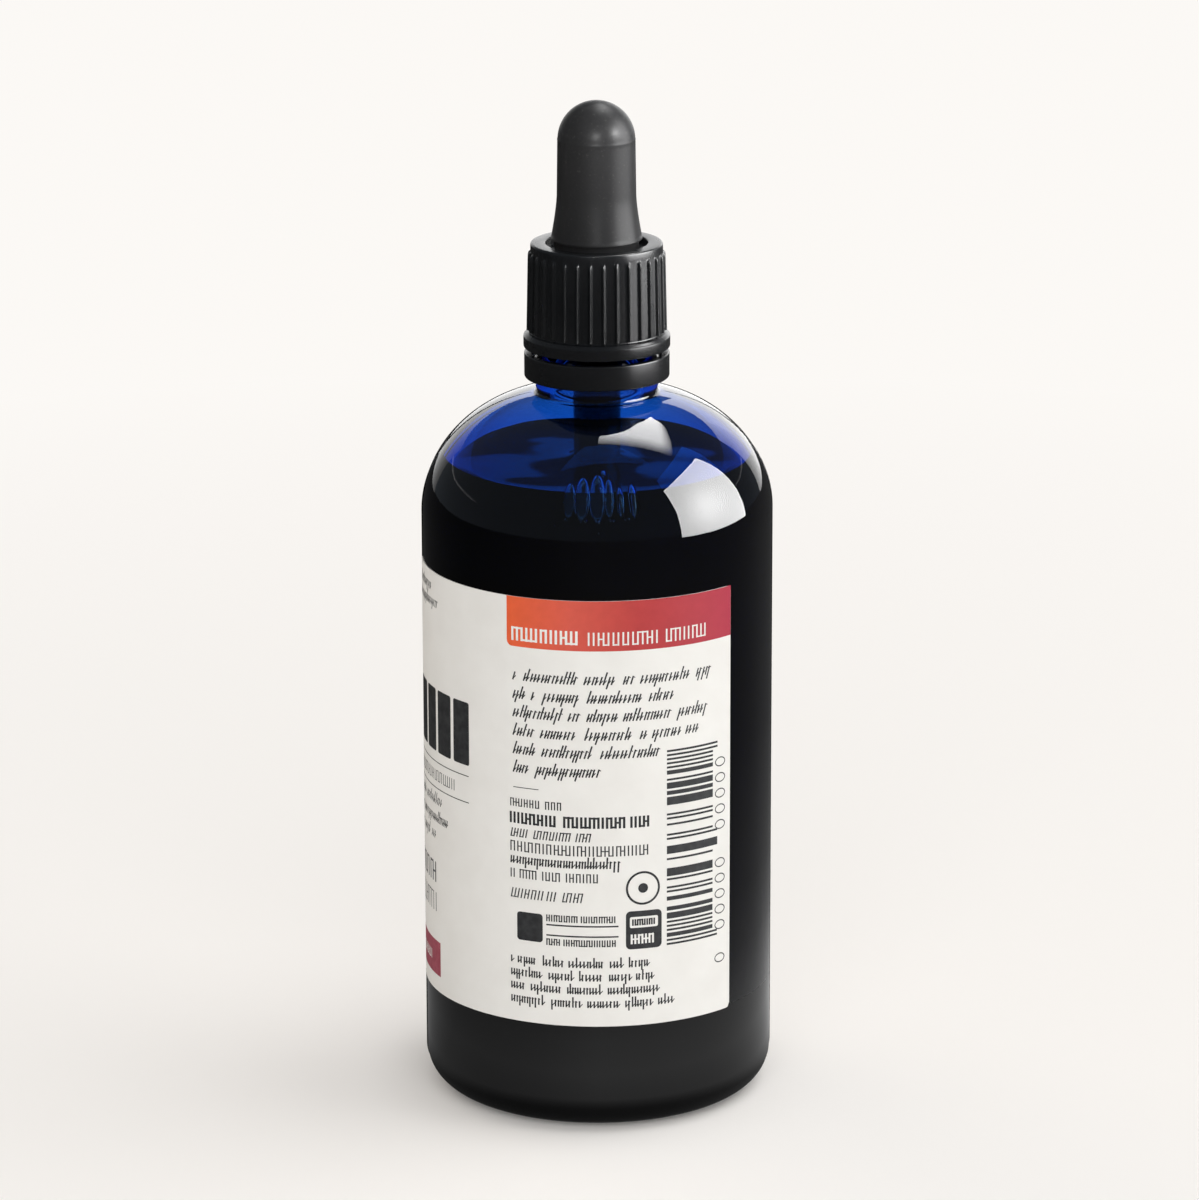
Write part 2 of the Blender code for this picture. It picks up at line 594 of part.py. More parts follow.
def make_band(parts, tools):
    """The tamper band with the stubs of its torn bridges."""
    plastic = material("band_plastic", (0.012, 0.013, 0.014), 0.32)
    band = turned("tamper_band", band_points(), CLOSURE_STEPS, plastic, parts)
    join_on(band, ring_of("bridges", BRIDGE_COUNT, bridge_corner, tools))
    band.parent = axis_empty("band_swivel", None, parts)


def make_dropper(parts, tools):
    """The bulb, the pipette and what it holds, and the cap that turns on them."""
    rubber = material("bulb_rubber", (0.03, 0.03, 0.031), 0.55)
    clear_glass = material("clear_glass", (0.9, 0.93, 0.93), 0.02, 0.95)
    drawn_bitters = material("drawn_bitters", (0.06, 0.01, 0.008), 0.05, 0.6)
    plastic = material("cap_plastic", (0.012, 0.013, 0.014), 0.3)
    slide = axis_empty("dropper_slide", None, parts)
    bulb = turned("bulb", bulb_points(), CLOSURE_STEPS, rubber, parts)
    pipette = turned("pipette", pipette_points(), PIPETTE_STEPS, clear_glass, parts)
    column = turned("pipette_fill", pipette_liquid_points(), PIPETTE_STEPS, drawn_bitters, parts)
    for piece in (bulb, pipette, column):
        piece.parent = slide
    cap = turned("screw_cap", cap_points(), CLOSURE_STEPS, plastic, parts)
    join_on(cap, ring_of("ribs", RIB_COUNT, rib_corner, tools))
    start_height = NECK_THREAD_BASE_HEIGHT + THREAD_PITCH * (CAP_THREAD_START_TURNS - 1 / 2)
    thread = screw_thread(
        "cap_thread",
        CAP_BORE_RADIUS,
        CAP_THREAD_WIRE_RADIUS,
        start_height,
        CAP_THREAD_START_TURNS,
        CAP_THREAD_TURNS,
        tools,
    )
    join_on(cap, thread)
    cap.parent = axis_empty("cap_swivel", slide, parts)


def main():
    for old in list(bpy.data.objects):
        bpy.data.objects.remove(old)
    parts = collection(OBJECT_NAME)
    tools = collection("tools")
    make_bottle(parts, tools)
    make_liquid(parts)
    make_label(parts)
    make_band(parts, tools)
    make_dropper(parts, tools)


main()
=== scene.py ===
"""Looks for the bitters bottle: cobalt glass, dark liquid, printed paper label and black dropper closure.

Lengths are in metres in the part's frame: +Z up, the origin at the middle of the foot, -Y the photographed
side. Bearings round the bottle are in degrees from -Y towards +X, and a point of a turned shape is
(radius, height).
"""

import bisect
import math
import random

import bmesh
import bpy
from mathutils import Matrix, Vector

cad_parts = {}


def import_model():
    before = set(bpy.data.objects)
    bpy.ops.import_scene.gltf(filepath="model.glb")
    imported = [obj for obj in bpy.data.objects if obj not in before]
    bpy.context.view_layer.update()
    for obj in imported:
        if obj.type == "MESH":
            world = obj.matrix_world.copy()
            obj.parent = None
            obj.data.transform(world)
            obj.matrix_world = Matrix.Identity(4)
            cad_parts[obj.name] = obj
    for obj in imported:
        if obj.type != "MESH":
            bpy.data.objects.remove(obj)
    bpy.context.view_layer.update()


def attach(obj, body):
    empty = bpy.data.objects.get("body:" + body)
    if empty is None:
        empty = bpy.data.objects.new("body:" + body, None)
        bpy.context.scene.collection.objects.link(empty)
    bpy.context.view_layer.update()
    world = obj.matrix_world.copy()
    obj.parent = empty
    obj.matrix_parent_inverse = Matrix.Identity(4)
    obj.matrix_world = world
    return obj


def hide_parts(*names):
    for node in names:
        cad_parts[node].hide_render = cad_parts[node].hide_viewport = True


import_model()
SCENE = bpy.context.scene
MM = 0.001
HARD_EDGE = math.radians(40)

# Sizes of the part, as in its source
BODY_R, WALL = 26.0 * MM, 2.9 * MM
SHOULDER_Z, SHOULDER_RISE, SHOULDER_CENTRE_R = 89.3 * MM, 18.2 * MM, 5.6 * MM
HEEL_R, FOOT_RING, PUNT, FLOOR_Z, INNER_HEEL_R = 5.5 * MM, 2.2 * MM, 2.0 * MM, 6.0 * MM, 6.5 * MM
MOUTH_R, MOUTH_FILLET, RIM_ROUND, RIM_Z = 5.75 * MM, 2.5 * MM, 0.5 * MM, 125.0 * MM
NECK_R, LOWER_NECK_R, LOWER_FILLET = 7.8 * MM, 9.05 * MM, 0.5 * MM
BEAD_R, BEAD_BASE_Z, BEAD_TOP_Z = 9.55 * MM, 111.25 * MM, 112.65 * MM
BEAD_RAMP, BEAD_ROUND = 1.1 * MM, 0.3 * MM
PITCH, NECK_THREAD_Z, NECK_THREAD_TURNS = 3.0 * MM, 117.35 * MM, 1.75
CAP_BORE_R, CAP_THREAD_Z, CAP_THREAD_TURNS = 8.9 * MM, NECK_THREAD_Z - PITCH / 4, 1.5
NECK_THREAD_WIRE, CAP_THREAD_WIRE, THREAD_FADE = 0.8 * MM, 0.7 * MM, 0.12
LIQUID_Z = 97.0 * MM
LABEL_Z0, LABEL_Z1 = 16.9 * MM, 82.2 * MM
# The label's ends in degrees and the rounding of its corners in mm
LABEL_FROM, LABEL_TO, LABEL_CORNER = -237.7, 48.3, 0.7
# The hollow's own sizes here: the rise of its shoulder and its neck, which give the shoulder its dark middle
INNER_RISE, INNER_NECK_R = 16.9 * MM, 6.7 * MM


def arc(centre, radii, start, end, steps):
    """Points on an ellipse's arc, both ends included."""
    points = []
    for step in range(steps + 1):
        angle = math.radians(start + (end - start) * step / steps)
        points.append((centre[0] + radii[0] * math.cos(angle), centre[1] + radii[1] * math.sin(angle)))
    return points


def rounded(corners, default=0.12 * MM, steps=3):
    """An open outline whose corners are rounded: (radius, height) or (radius, height, rounding)."""
    points = []
    last = len(corners) - 1
    for index, corner in enumerate(corners):
        here = Vector(corner[:2])
        size = corner[2] if len(corner) > 2 else default
        if index in (0, last) or size == 0:
            points.append(tuple(here))
            continue
        back = Vector(corners[index - 1][:2]) - here
        ahead = Vector(corners[index + 1][:2]) - here
        reach = min(size, back.length * 0.45, ahead.length * 0.45)
        first = here + back.normalized() * reach
        final = here + ahead.normalized() * reach
        for step in range(steps + 1):
            share = step / steps
            point = first * (1 - share) ** 2 + here * 2 * share * (1 - share) + final * share**2
            points.append(tuple(point))
    return points


def straight(start, end, steps):
    """Points from start towards end, without the end."""
    return [tuple(Vector(start).lerp(Vector(end), step / steps)) for step in range(steps)]


def in_mm(*corners):
    """Corners given in mm, as metres."""
    return [tuple(value * MM for value in corner) for corner in corners]


def thread(bearing, height, first, start, turns, wire):
    """How far a helical ridge stands out at a place.

    It starts at first, a share of a turn, and at the height start, and it is low at both ends.
    """
    out = 0.0
    turn = (bearing / math.tau - first) % 1
    while turn < turns:
        share = turn / turns
        thick = wire * (0.1 + 0.9 * min(1, min(share, 1 - share) / THREAD_FADE))
        rise = height - start - PITCH * turn
        if abs(rise) < thick:
            out = max(out, math.sqrt(thick * thick - rise * rise))
        turn += 1
    return out


def shoulder(inset, rise, neck_radius, fillet, steps, turn_steps):
    """The shoulder drawn in by an inset, from the body up to the neck, with the fillet between them."""
    reach = BODY_R - SHOULDER_CENTRE_R - inset

    def fillet_at(angle):
        slope = math.atan2(math.sin(angle) / rise, math.cos(angle) / reach)
        radius = SHOULDER_CENTRE_R + reach * math.cos(angle) + fillet * math.cos(slope)
        return radius, SHOULDER_Z + rise * math.sin(angle) + fillet * math.sin(slope), slope

    low, high = 0.0, math.pi / 2
    for _ in range(50):
        middle = (low + high) / 2
        if fillet_at(middle)[0] > neck_radius + fillet:
            low = middle
        else:
            high = middle
    radius, height, slope = fillet_at(low)
    points = arc((SHOULDER_CENTRE_R, SHOULDER_Z), (reach, rise), 0, math.degrees(low), steps)
    return points + arc((radius, height), (fillet, fillet), math.degrees(slope) + 180, 180, turn_steps)[1:]


def bearings(count, extra=()):
    """Evenly spaced bearings round the bottle in radians, with more of them beside each extra bearing."""
    found = {round(math.tau * index / count, 6) for index in range(count)}
    for bearing in extra:
        for offset in (-0.8, -0.45, -0.25, -0.12, 0.0, 0.12, 0.25, 0.45, 0.8):
            found.add(round(math.radians(bearing + offset) % math.tau, 6))
    return sorted(found)


def turned(name, points, columns, closed=True, shape=None):
    """A turned mesh. shape(index, bearing, radius, height) gives the radius and height of one vertex.

    A point on the axis is one vertex. Bearings run from -Y towards +X.
    """
    mesh = bmesh.new()
    rings = []
    for index, (radius, height) in enumerate(points):
        if radius < 1e-7:
            rings.append([mesh.verts.new((0, 0, height))] * len(columns))
            continue
        ring = []
        for bearing in columns:
            r, z = (radius, height) if shape is None else shape(index, bearing, radius, height)
            ring.append(mesh.verts.new((r * math.sin(bearing), -r * math.cos(bearing), z)))
        rings.append(ring)
    pairs = list(zip(rings, rings[1:]))
    if closed:
        pairs.append((rings[-1], rings[0]))
    for lower, upper in pairs:
        for column in range(len(columns)):
            following = (column + 1) % len(columns)
            corners = [lower[column], lower[following], upper[following], upper[column]]
            distinct = [v for place, v in enumerate(corners) if v not in corners[:place]]
            if len(distinct) > 2:
                mesh.faces.new(distinct)
    bmesh.ops.recalc_face_normals(mesh, faces=mesh.faces)
    return finished(name, mesh)


def finished(name, mesh):
    """The object of a bmesh, smooth but for its hard edges."""
    data = bpy.data.meshes.new(name)
    mesh.to_mesh(data)
    mesh.free()
    data.shade_smooth()
    data.set_sharp_from_angle(angle=HARD_EDGE)
    made = bpy.data.objects.new(name, data)
    SCENE.collection.objects.link(made)
    return made


# Materials


def fill(node, values):
    """Constant values on a node's sockets. Underscores in the names stand for spaces."""
    for socket, value in values.items():
        node.inputs[socket.replace("_", " ")].default_value = value
    return node


def add(tree, kind, **values):
    """A new node of a tree."""
    return fill(tree.nodes.new("ShaderNode" + kind), values)


def shader(name, colour, roughness, **values):
    """A Principled material and its shader's node."""
    made = bpy.data.materials.new(name)
    made.use_nodes = True
    node = made.node_tree.nodes["Principled BSDF"]
    node.inputs["Base Color"].default_value = (*colour, 1)
    node.inputs["Roughness"].default_value = roughness
    return made, fill(node, values)


def noise(material, scale, detail=3.0, stretch=(1, 1, 1)):
    """The value of a noise in the object's own coordinates."""
    tree = material.node_tree
    place = add(tree, "TexCoord")
    mapping = add(tree, "Mapping", Scale=stretch)
    texture = add(tree, "TexNoise", Scale=scale, Detail=detail)
    tree.links.new(place.outputs["Object"], mapping.inputs["Vector"])
    tree.links.new(mapping.outputs["Vector"], texture.inputs["Vector"])
    return texture.outputs["Fac"]


def ramp(material, source, *stops):
    """A colour ramp over a value: (place, colour) stops."""
    node = add(material.node_tree, "ValToRGB")
    while len(node.color_ramp.elements) < len(stops):
        node.color_ramp.elements.new(1)
    for element, (place, colour) in zip(node.color_ramp.elements, stops):
        element.position = place
        element.color = (*colour, 1)
    material.node_tree.links.new(source, node.inputs["Fac"])
    return node.outputs["Color"]


def spread(material, source, low, high, start, end):
    """A value mapped from the range start to end onto the range low to high."""
    node = add(material.node_tree, "MapRange", From_Min=start, From_Max=end, To_Min=low, To_Max=high)
    material.node_tree.links.new(source, node.inputs["Value"])
    return node.outputs["Result"]


def bump(material, node, source, strength, distance):
    """Bump from a value, added before any bump the node already has."""
    made = add(material.node_tree, "Bump", Strength=strength, Distance=distance)
    links = material.node_tree.links
    if node.inputs["Normal"].is_linked:
        links.new(node.inputs["Normal"].links[0].from_socket, made.inputs["Normal"])
    links.new(source, made.inputs["Height"])
    links.new(made.outputs["Normal"], node.inputs["Normal"])


def tint(material, node, source, *stops):
    """A base colour that follows a value."""
    material.node_tree.links.new(ramp(material, source, *stops), node.inputs["Base Color"])


def vary_gloss(material, node, source, low, high):
    """A roughness that follows the middle part of a value."""
    material.node_tree.links.new(spread(material, source, low, high, 0.3, 0.7), node.inputs["Roughness"])


def grey(value):
    return value, value, value


def absorb(material, colour, density):
    """Light that passes the inside is absorbed."""
    tree = material.node_tree
    volume = add(tree, "VolumeAbsorption", Color=(*colour, 1), Density=density)
    tree.links.new(volume.outputs["Volume"], tree.nodes["Material Output"].inputs["Volume"])


def cobalt_glass():
    material, node = shader("cobalt_glass", (1, 1, 1), 0.0, IOR=1.52, Transmission_Weight=1.0)
    bump(material, node, noise(material, 60, 1.5), 0.12, 0.6 * MM)
    absorb(material, (0.0, 0.525, 0.89), 1120)
    return material


def backed_glass():
    """The foot's glass, with the dark liquid right behind it: only its gloss shows."""
    material, node = shader("backed_glass", (0.0004, 0.0004, 0.0005), 0.0, IOR=1.52)
    bump(material, node, noise(material, 60, 1.5), 0.12, 0.6 * MM)
    return material


def clear_glass():
    material, node = shader("clear_glass", (1, 1, 1), 0.0, IOR=1.5, Transmission_Weight=1.0)
    bump(material, node, noise(material, 120, 1.0), 0.05, 0.2 * MM)
    absorb(material, (0.6, 0.9, 0.8), 12)
    return material


def bitters(name, wetted):
    """The liquid: where it wets the glass nothing is mirrored, because the two bend light nearly alike."""
    if wetted:
        material, node = shader(name, (0.007, 0.006, 0.006), 1.0, Specular_IOR_Level=0.0)
        tones = (0.005, 0.0045, 0.0045), (0.009, 0.008, 0.008)
    else:
        material, node = shader(name, (0.0022, 0.0012, 0.001), 0.0, IOR=1.36)
        bump(material, node, noise(material, 60, 1.0), 0.5, 2.0 * MM)
        tones = (0.0014, 0.0008, 0.0007), (0.003, 0.0016, 0.0013)
    tint(material, node, noise(material, 90, 3.0), (0.3, tones[0]), (0.7, tones[1]))
    return material


def closure_plastic():
    material, node = shader("closure_plastic", (0.0065, 0.007, 0.008), 0.26, IOR=1.5)
    grain = noise(material, 900, 3.0)
    broad = noise(material, 70, 4.0)
    vary_gloss(material, node, broad, 0.21, 0.31)
    tint(material, node, broad, (0.35, (0.005, 0.0055, 0.0065)), (0.7, (0.008, 0.0085, 0.0095)))
    bump(material, node, grain, 0.12, 0.05 * MM)
    bump(material, node, broad, 0.10, 0.15 * MM)
    return material


def bulb_rubber():
    """Matt rubber with fine pale dust."""
    material, node = shader("bulb_rubber", (0.0145, 0.0145, 0.015), 0.38, IOR=1.4, Specular_IOR_Level=0.2)
    grain = noise(material, 1400, 4.0)
    broad = noise(material, 120, 4.0)
    dust = noise(material, 2600, 1.0)
    vary_gloss(material, node, broad, 0.35, 0.41)
    tint(material, node, dust, (0.0, (0.012, 0.012, 0.0125)), (0.66, (0.0155, 0.0155, 0.016)),
         (0.78, (0.029, 0.029, 0.028)))
    bump(material, node, grain, 0.25, 0.04 * MM)
    bump(material, node, broad, 0.10, 0.15 * MM)
    return material


def paper():
    material, node = shader("label_paper", (0.86, 0.85, 0.82), 0.7, Specular_IOR_Level=0.12)
    fibre = noise(material, 2200, 6.0, (1, 1, 0.6))
    cloud = noise(material, 160, 5.0)
    tint(material, node, cloud, (0.3, (0.845, 0.835, 0.805)), (0.7, (0.885, 0.878, 0.85)))
    bump(material, node, fibre, 0.3, 0.03 * MM)
    bump(material, node, cloud, 0.12, 0.05 * MM)
    return material


def ink(name, colour, roughness=0.65):
    """Printing ink: its strength varies a little, as on uncoated paper."""
    material, node = shader(name, colour, roughness, Specular_IOR_Level=0.15)
    light = tuple(min(1, channel * 1.25 + 0.012) for channel in colour)
    tint(material, node, noise(material, 900, 5.0), (0.35, colour), (0.75, light))
    bump(material, node, noise(material, 2200, 6.0), 0.25, 0.03 * MM)
    return material


def band_ink():
    """The colour band: orange at its left to magenta at its right, by a value kept on its points."""
    material, node = shader("band_ink", (0.7, 0.1, 0.08), 0.6, Specular_IOR_Level=0.15)
    tree = material.node_tree
    along = add(tree, "Attribute")
    along.attribute_name = "along"
    tone = ramp(material, along.outputs["Fac"], (0.0, (0.86, 0.135, 0.045)), (0.28, (0.71, 0.115, 0.08)),
                (0.55, (0.50, 0.054, 0.053)), (1.0, (0.385, 0.022, 0.05)))
    patchy = ramp(material, noise(material, 700, 6.0), (0.3, grey(0.93)), (0.7, grey(1)))
    mix = add(tree, "Mix")
    mix.data_type = "RGBA"
    mix.blend_type = "MULTIPLY"
    mix.inputs["Factor"].default_value = 1.0
    tree.links.new(tone, mix.inputs[6])
    tree.links.new(patchy, mix.inputs[7])
    tree.links.new(mix.outputs[2], node.inputs["Base Color"])
    bump(material, node, noise(material, 2200, 6.0), 0.25, 0.03 * MM)
    return material


COBALT = cobalt_glass()
CLEAR = clear_glass()
PLASTIC = closure_plastic()
RUBBER = bulb_rubber()
PAPER = paper()
INK = ink("dark_ink", (0.028, 0.029, 0.031))
GREY_INK = ink("grey_ink", (0.10, 0.10, 0.105))


# Bottle

SEAMS = (-88, 92)
SEAM_RISE, SEAM_DEG = 0.14 * MM, 0.3


def glass_bottle():
    """The bottle's glass, with its mould seams and the thread on its neck."""
    inner_r, foot_r, ring_r = BODY_R - WALL, BODY_R - HEEL_R, BODY_R - HEEL_R - FOOT_RING
    inner_heel_z = FLOOR_Z + INNER_HEEL_R
    ramp_z = BEAD_TOP_Z + BEAD_RAMP
    backed_z = LABEL_Z0 + 0.4 * MM
    points = [(0, FLOOR_Z)] + straight((3 * MM, FLOOR_Z), (16.5 * MM, FLOOR_Z), 4)
    points += arc((inner_r - INNER_HEEL_R, inner_heel_z), (INNER_HEEL_R, INNER_HEEL_R), -90, 0, 14)
    points += straight((inner_r, inner_heel_z + MM), (inner_r, SHOULDER_Z - MM), 12)
    points += shoulder(WALL, INNER_RISE, INNER_NECK_R, MOUTH_FILLET, 40, 12)
    points += rounded([(INNER_NECK_R, 110.0 * MM), (INNER_NECK_R, 111.0 * MM, 1.2 * MM),
                       (MOUTH_R, 113.4 * MM, 1.2 * MM), (MOUTH_R, 115 * MM)], steps=5)
    points += arc((MOUTH_R + RIM_ROUND, RIM_Z - RIM_ROUND), (RIM_ROUND, RIM_ROUND), 180, 90, 4)
    points += arc((NECK_R - RIM_ROUND, RIM_Z - RIM_ROUND), (RIM_ROUND, RIM_ROUND), 90, 0, 4)
    first_thread = len(points)
    points += straight((NECK_R, RIM_Z - 0.8 * MM), (NECK_R, ramp_z + 0.3 * MM), 56)
    last_thread = len(points)
    points += rounded([(NECK_R, ramp_z + 0.3 * MM), (NECK_R, ramp_z, 0.4 * MM),
                       (BEAD_R, BEAD_TOP_Z, 0.4 * MM), (BEAD_R, BEAD_BASE_Z, BEAD_ROUND),
                       (LOWER_NECK_R, BEAD_BASE_Z, BEAD_ROUND), (LOWER_NECK_R, BEAD_BASE_Z - MM)])
    points += list(reversed(shoulder(0, SHOULDER_RISE, LOWER_NECK_R, LOWER_FILLET, 44, 8)))
    points += straight((BODY_R, SHOULDER_Z - MM), (BODY_R, backed_z), 14)
    points += straight((BODY_R, backed_z), (BODY_R, HEEL_R + MM), 3)
    points += arc((foot_r, HEEL_R), (HEEL_R, HEEL_R), 0, -90, 16)
    points += rounded([(foot_r - 0.3 * MM, 0), (ring_r, 0, 0.3 * MM), (ring_r - 0.5 * MM, 0.45 * MM)])
    points += arc((0, 0), (ring_r, PUNT), 14, 90, 14)

    def shape(index, bearing, radius, height):
        if first_thread <= index < last_thread:
            out = thread(bearing, height, 0.25, NECK_THREAD_Z, NECK_THREAD_TURNS, NECK_THREAD_WIRE)
            if out:
                radius = max(radius, NECK_R + out)
        elif index >= last_thread and radius > LOWER_NECK_R + MM:
            for seam in SEAMS:
                off = (math.degrees(bearing) - seam + 180) % 360 - 180
                radius += SEAM_RISE * math.exp(-(off / SEAM_DEG) ** 2)
        return radius, height

    made = turned("glass_bottle", points, bearings(180, SEAMS), True, shape)
    made.data.materials.append(COBALT)
    made.data.materials.append(backed_glass())
    for face in made.data.polygons:
        outwards = face.normal.xy.dot(face.center.xy) > 0
        if outwards and face.center.z < backed_z and face.center.xy.length > foot_r:
            face.material_index = 1
    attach(made, "bottle_body")
    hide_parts("bottle")


def liquid():
    """The bitters up to the liquid line. It reaches a hair into the glass, which it wets."""
    sink = 0.04 * MM
    wall_r = BODY_R - WALL
    reach = BODY_R - SHOULDER_CENTRE_R - WALL
    inner_heel_z = FLOOR_Z + INNER_HEEL_R
    columns = bearings(144)

    def wall_at(height):
        share = max(0, height - SHOULDER_Z) / INNER_RISE
        return SHOULDER_CENTRE_R + reach * math.sqrt(1 - share * share)

    wall_climb, wall_fade = 1.3 * MM, 2.1 * MM
    tube_climb, tube_fade, tube_r = 0.9 * MM, 1.6 * MM, 3.5 * MM
    level = LIQUID_Z - wall_climb
    top_r = wall_at(LIQUID_Z) + sink
    flat_r, rim_steps = 13 * MM, 18
    points = [(0, level)]
    for radius in (0.5, 1.5, 2.4, 3.0, 3.4, 3.7, 4.2, 4.8, 5.6, 6.5, 7.6, 9, 10.5, 12):
        near = math.exp(-abs(radius * MM - tube_r) / tube_fade) * tube_climb
        points.append((radius * MM, level + near))
    for step in range(rim_steps + 1):
        gap = (top_r - flat_r) * (1 - step / rim_steps) ** 1.6
        points.append((top_r - gap, level + wall_climb * math.exp(-gap / wall_fade)))
    surface_faces = (len(points) - 1) * len(columns)
    top = math.degrees(math.asin((LIQUID_Z - SHOULDER_Z) / INNER_RISE))
    points += arc((SHOULDER_CENTRE_R, SHOULDER_Z), (reach + sink, INNER_RISE + sink), top, 0, 14)[1:]
    points += straight((wall_r + sink, SHOULDER_Z - MM), (wall_r + sink, inner_heel_z + MM), 8)
    heel = INNER_HEEL_R + sink
    points += arc((wall_r - INNER_HEEL_R, inner_heel_z), (heel, heel), 0, -90, 14)
    points += [(8 * MM, FLOOR_Z - sink), (0, FLOOR_Z - sink)]
    made = turned("bitters_pool", points, columns, False)
    made.data.materials.append(bitters("bitters_surface", False))
    made.data.materials.append(bitters("bitters_wetted", True))
    for face in made.data.polygons:
        face.material_index = 0 if face.index < surface_faces else 1
    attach(made, "bottle_body")
    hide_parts("bitters_fill")


# Closure


def pipette():
    """The glass pipette and the liquid drawn up in it."""
    outer, bore, tip, tip_bore = 3.5, 2.5, 1.6, 0.7
    outline = in_mm((2.7, 131.1), (4.3, 131.15, 0.5), (4.32, 130.25, 0.3), (outer, 129.9, 0.5),
                    (outer, 24, 3), (tip, 13, 2), (tip, 11, 0.35), (tip_bore, 11, 0.3), (tip_bore, 13, 2),
                    (bore, 24, 3), (bore, 131.0))
    tube = turned("glass_pipette", rounded(outline, steps=5), bearings(64))
    tube.data.materials.append(CLEAR)
    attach(tube, "dropper")
    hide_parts("pipette")
    wide, narrow = bore + 0.02, tip_bore + 0.02
    outline = in_mm((0, 112), (1.5, 112.05), (wide, 112.6, 0), (wide, 24, 3), (narrow, 13, 2),
                    (narrow, 11.1, 0), (0, 10.9))
    column = turned("pipette_column", rounded(outline, steps=5), bearings(64), False)
    column.data.materials.append(bitters("drawn_bitters", True))
    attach(column, "dropper")
    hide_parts("pipette_fill")


def bulb():
    """The rubber bulb with its skirt, its groove and flange, and the mould's faint line."""
    dome_z, dome_r, hollow_r = 145.1 * MM, 5.7 * MM, 4.72 * MM
    line_z, skirt_z, side_steps, skirt_steps = 144.95, 136.8, 16, 14
    points = arc((0, dome_z), (dome_r, dome_r), 90, 3, 22)
    points += in_mm((5.72, 145.25), (5.755, 145.1), (5.735, line_z))
    for step in range(1, side_steps + 1):
        share = step / side_steps
        points.append(((5.73 + 0.11 * share) * MM, (line_z + (skirt_z - line_z) * share) * MM))
    for step in range(1, skirt_steps):
        share = step / skirt_steps
        points.append(((5.84 + 0.92 * share**1.4) * MM, (skirt_z - 6.6 * share) * MM))
    points += rounded(in_mm(
        (6.72, 130.6), (6.76, 130.2, 0.35), (6.2, 130.2, 0.15), (6.2, 128.8, 0.15), (5.0, 128.8, 0.15),
        (5.0, 126.9, 0.15), (8.6, 126.9, 0.3), (8.6, 125.3, 0.3), (3.8, 125.3, 0.2), (3.8, 129.6, 0.2),
        (4.72, 130.2, 0.2), (4.72, 144.5)))
    points += arc((0, dome_z), (hollow_r, hollow_r), 0, 90, 12)
    made = turned("rubber_bulb", points, bearings(128), False)
    made.data.materials.append(RUBBER)
    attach(made, "dropper")
    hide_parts("bulb")


RIBS, RIB_R, RIB_HALF = 32, 9.8 * MM, 0.4 * MM
BARREL_FOOT, BARREL_HEIGHT, RIB_TOP = 116.7, 11.7, 128.32
RIB_PROFILE = ((-0.40, 0.0), (-0.31, 0.03), (-0.24, 0.13), (-0.18, 0.29), (-0.10, 0.385), (0.0, 0.41),
               (0.10, 0.385), (0.18, 0.29), (0.24, 0.13), (0.31, 0.03), (0.40, 0.0))


def cap():
    """The screw cap: ribbed barrel, collar, recessed top, and the thread in its bore."""
    columns = []
    heights = []
    gap = math.tau / RIBS - 2 * RIB_HALF / RIB_R
    for rib in range(RIBS):
        middle = math.tau * (rib + 0.5) / RIBS
        for offset, height in RIB_PROFILE:
            columns.append(middle + offset * MM / RIB_R)
            heights.append(height * MM)
        for share in (0.25, 0.5, 0.75):
            columns.append(middle + RIB_HALF / RIB_R + gap * share)
            heights.append(0.0)
    points = rounded(in_mm((5.3, 128.5), (7.5, 128.5, 0.15), (7.56, 129.72, 0.2), (9.74, 129.72, 0.32),
                           (9.76, 128.6)), steps=5)
    rib_first = len(points)
    for height in (128.4, 128.3, 128.22, 128.12, 128.0, 127.86, 127.7, 127.3, 126, 124, 122, 120, 118.5,
                   117.6, 117.1, BARREL_FOOT):
        points.append(((10.0 - 0.24 * (height - BARREL_FOOT) / BARREL_HEIGHT) * MM, height * MM))
    rib_last = len(points)
    points += rounded(in_mm((10.0, 116.6), (10.02, 116.45, 0.12), (10.42, 116.32, 0.2), (10.72, 115.9, 0.12),
                            (10.84, 115.8, 0.14), (10.84, 114.1, 0.3), (9.3, 114.1, 0.1), (8.9, 114.5, 0.1),
                            (8.9, 115.1)), steps=4)
    bore_first = len(points)
    points += straight((CAP_BORE_R, 115.2 * MM), (CAP_BORE_R, 122.4 * MM), 40)
    bore_last = len(points)
    points += rounded(in_mm((8.9, 122.4), (8.9, 127.2, 0.3), (5.3, 127.2, 0.1), (5.3, 127.8)))

    def shape(index, bearing, radius, height):
        if rib_first <= index < rib_last:
            rib = heights[bisect.bisect_left(columns, bearing - 1e-9)]
            top = min(1, max(0, RIB_TOP * MM - height) / (0.62 * MM))
            radius += rib * math.sqrt(1 - (1 - top) ** 2)
        elif bore_first <= index < bore_last:
            out = thread(bearing, height, 0.5, CAP_THREAD_Z, CAP_THREAD_TURNS, CAP_THREAD_WIRE)
            if out:
                radius = min(radius, CAP_BORE_R - out)
        return radius, height

    made = turned("ribbed_cap", points, columns, True, shape)
    made.data.materials.append(PLASTIC)
    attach(made, "cap")
    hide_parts("screw_cap")


STUBS, STUB_R, STUB_FOOT, STUB_TOP = 8, 10.275, 113.1 * MM, 113.6


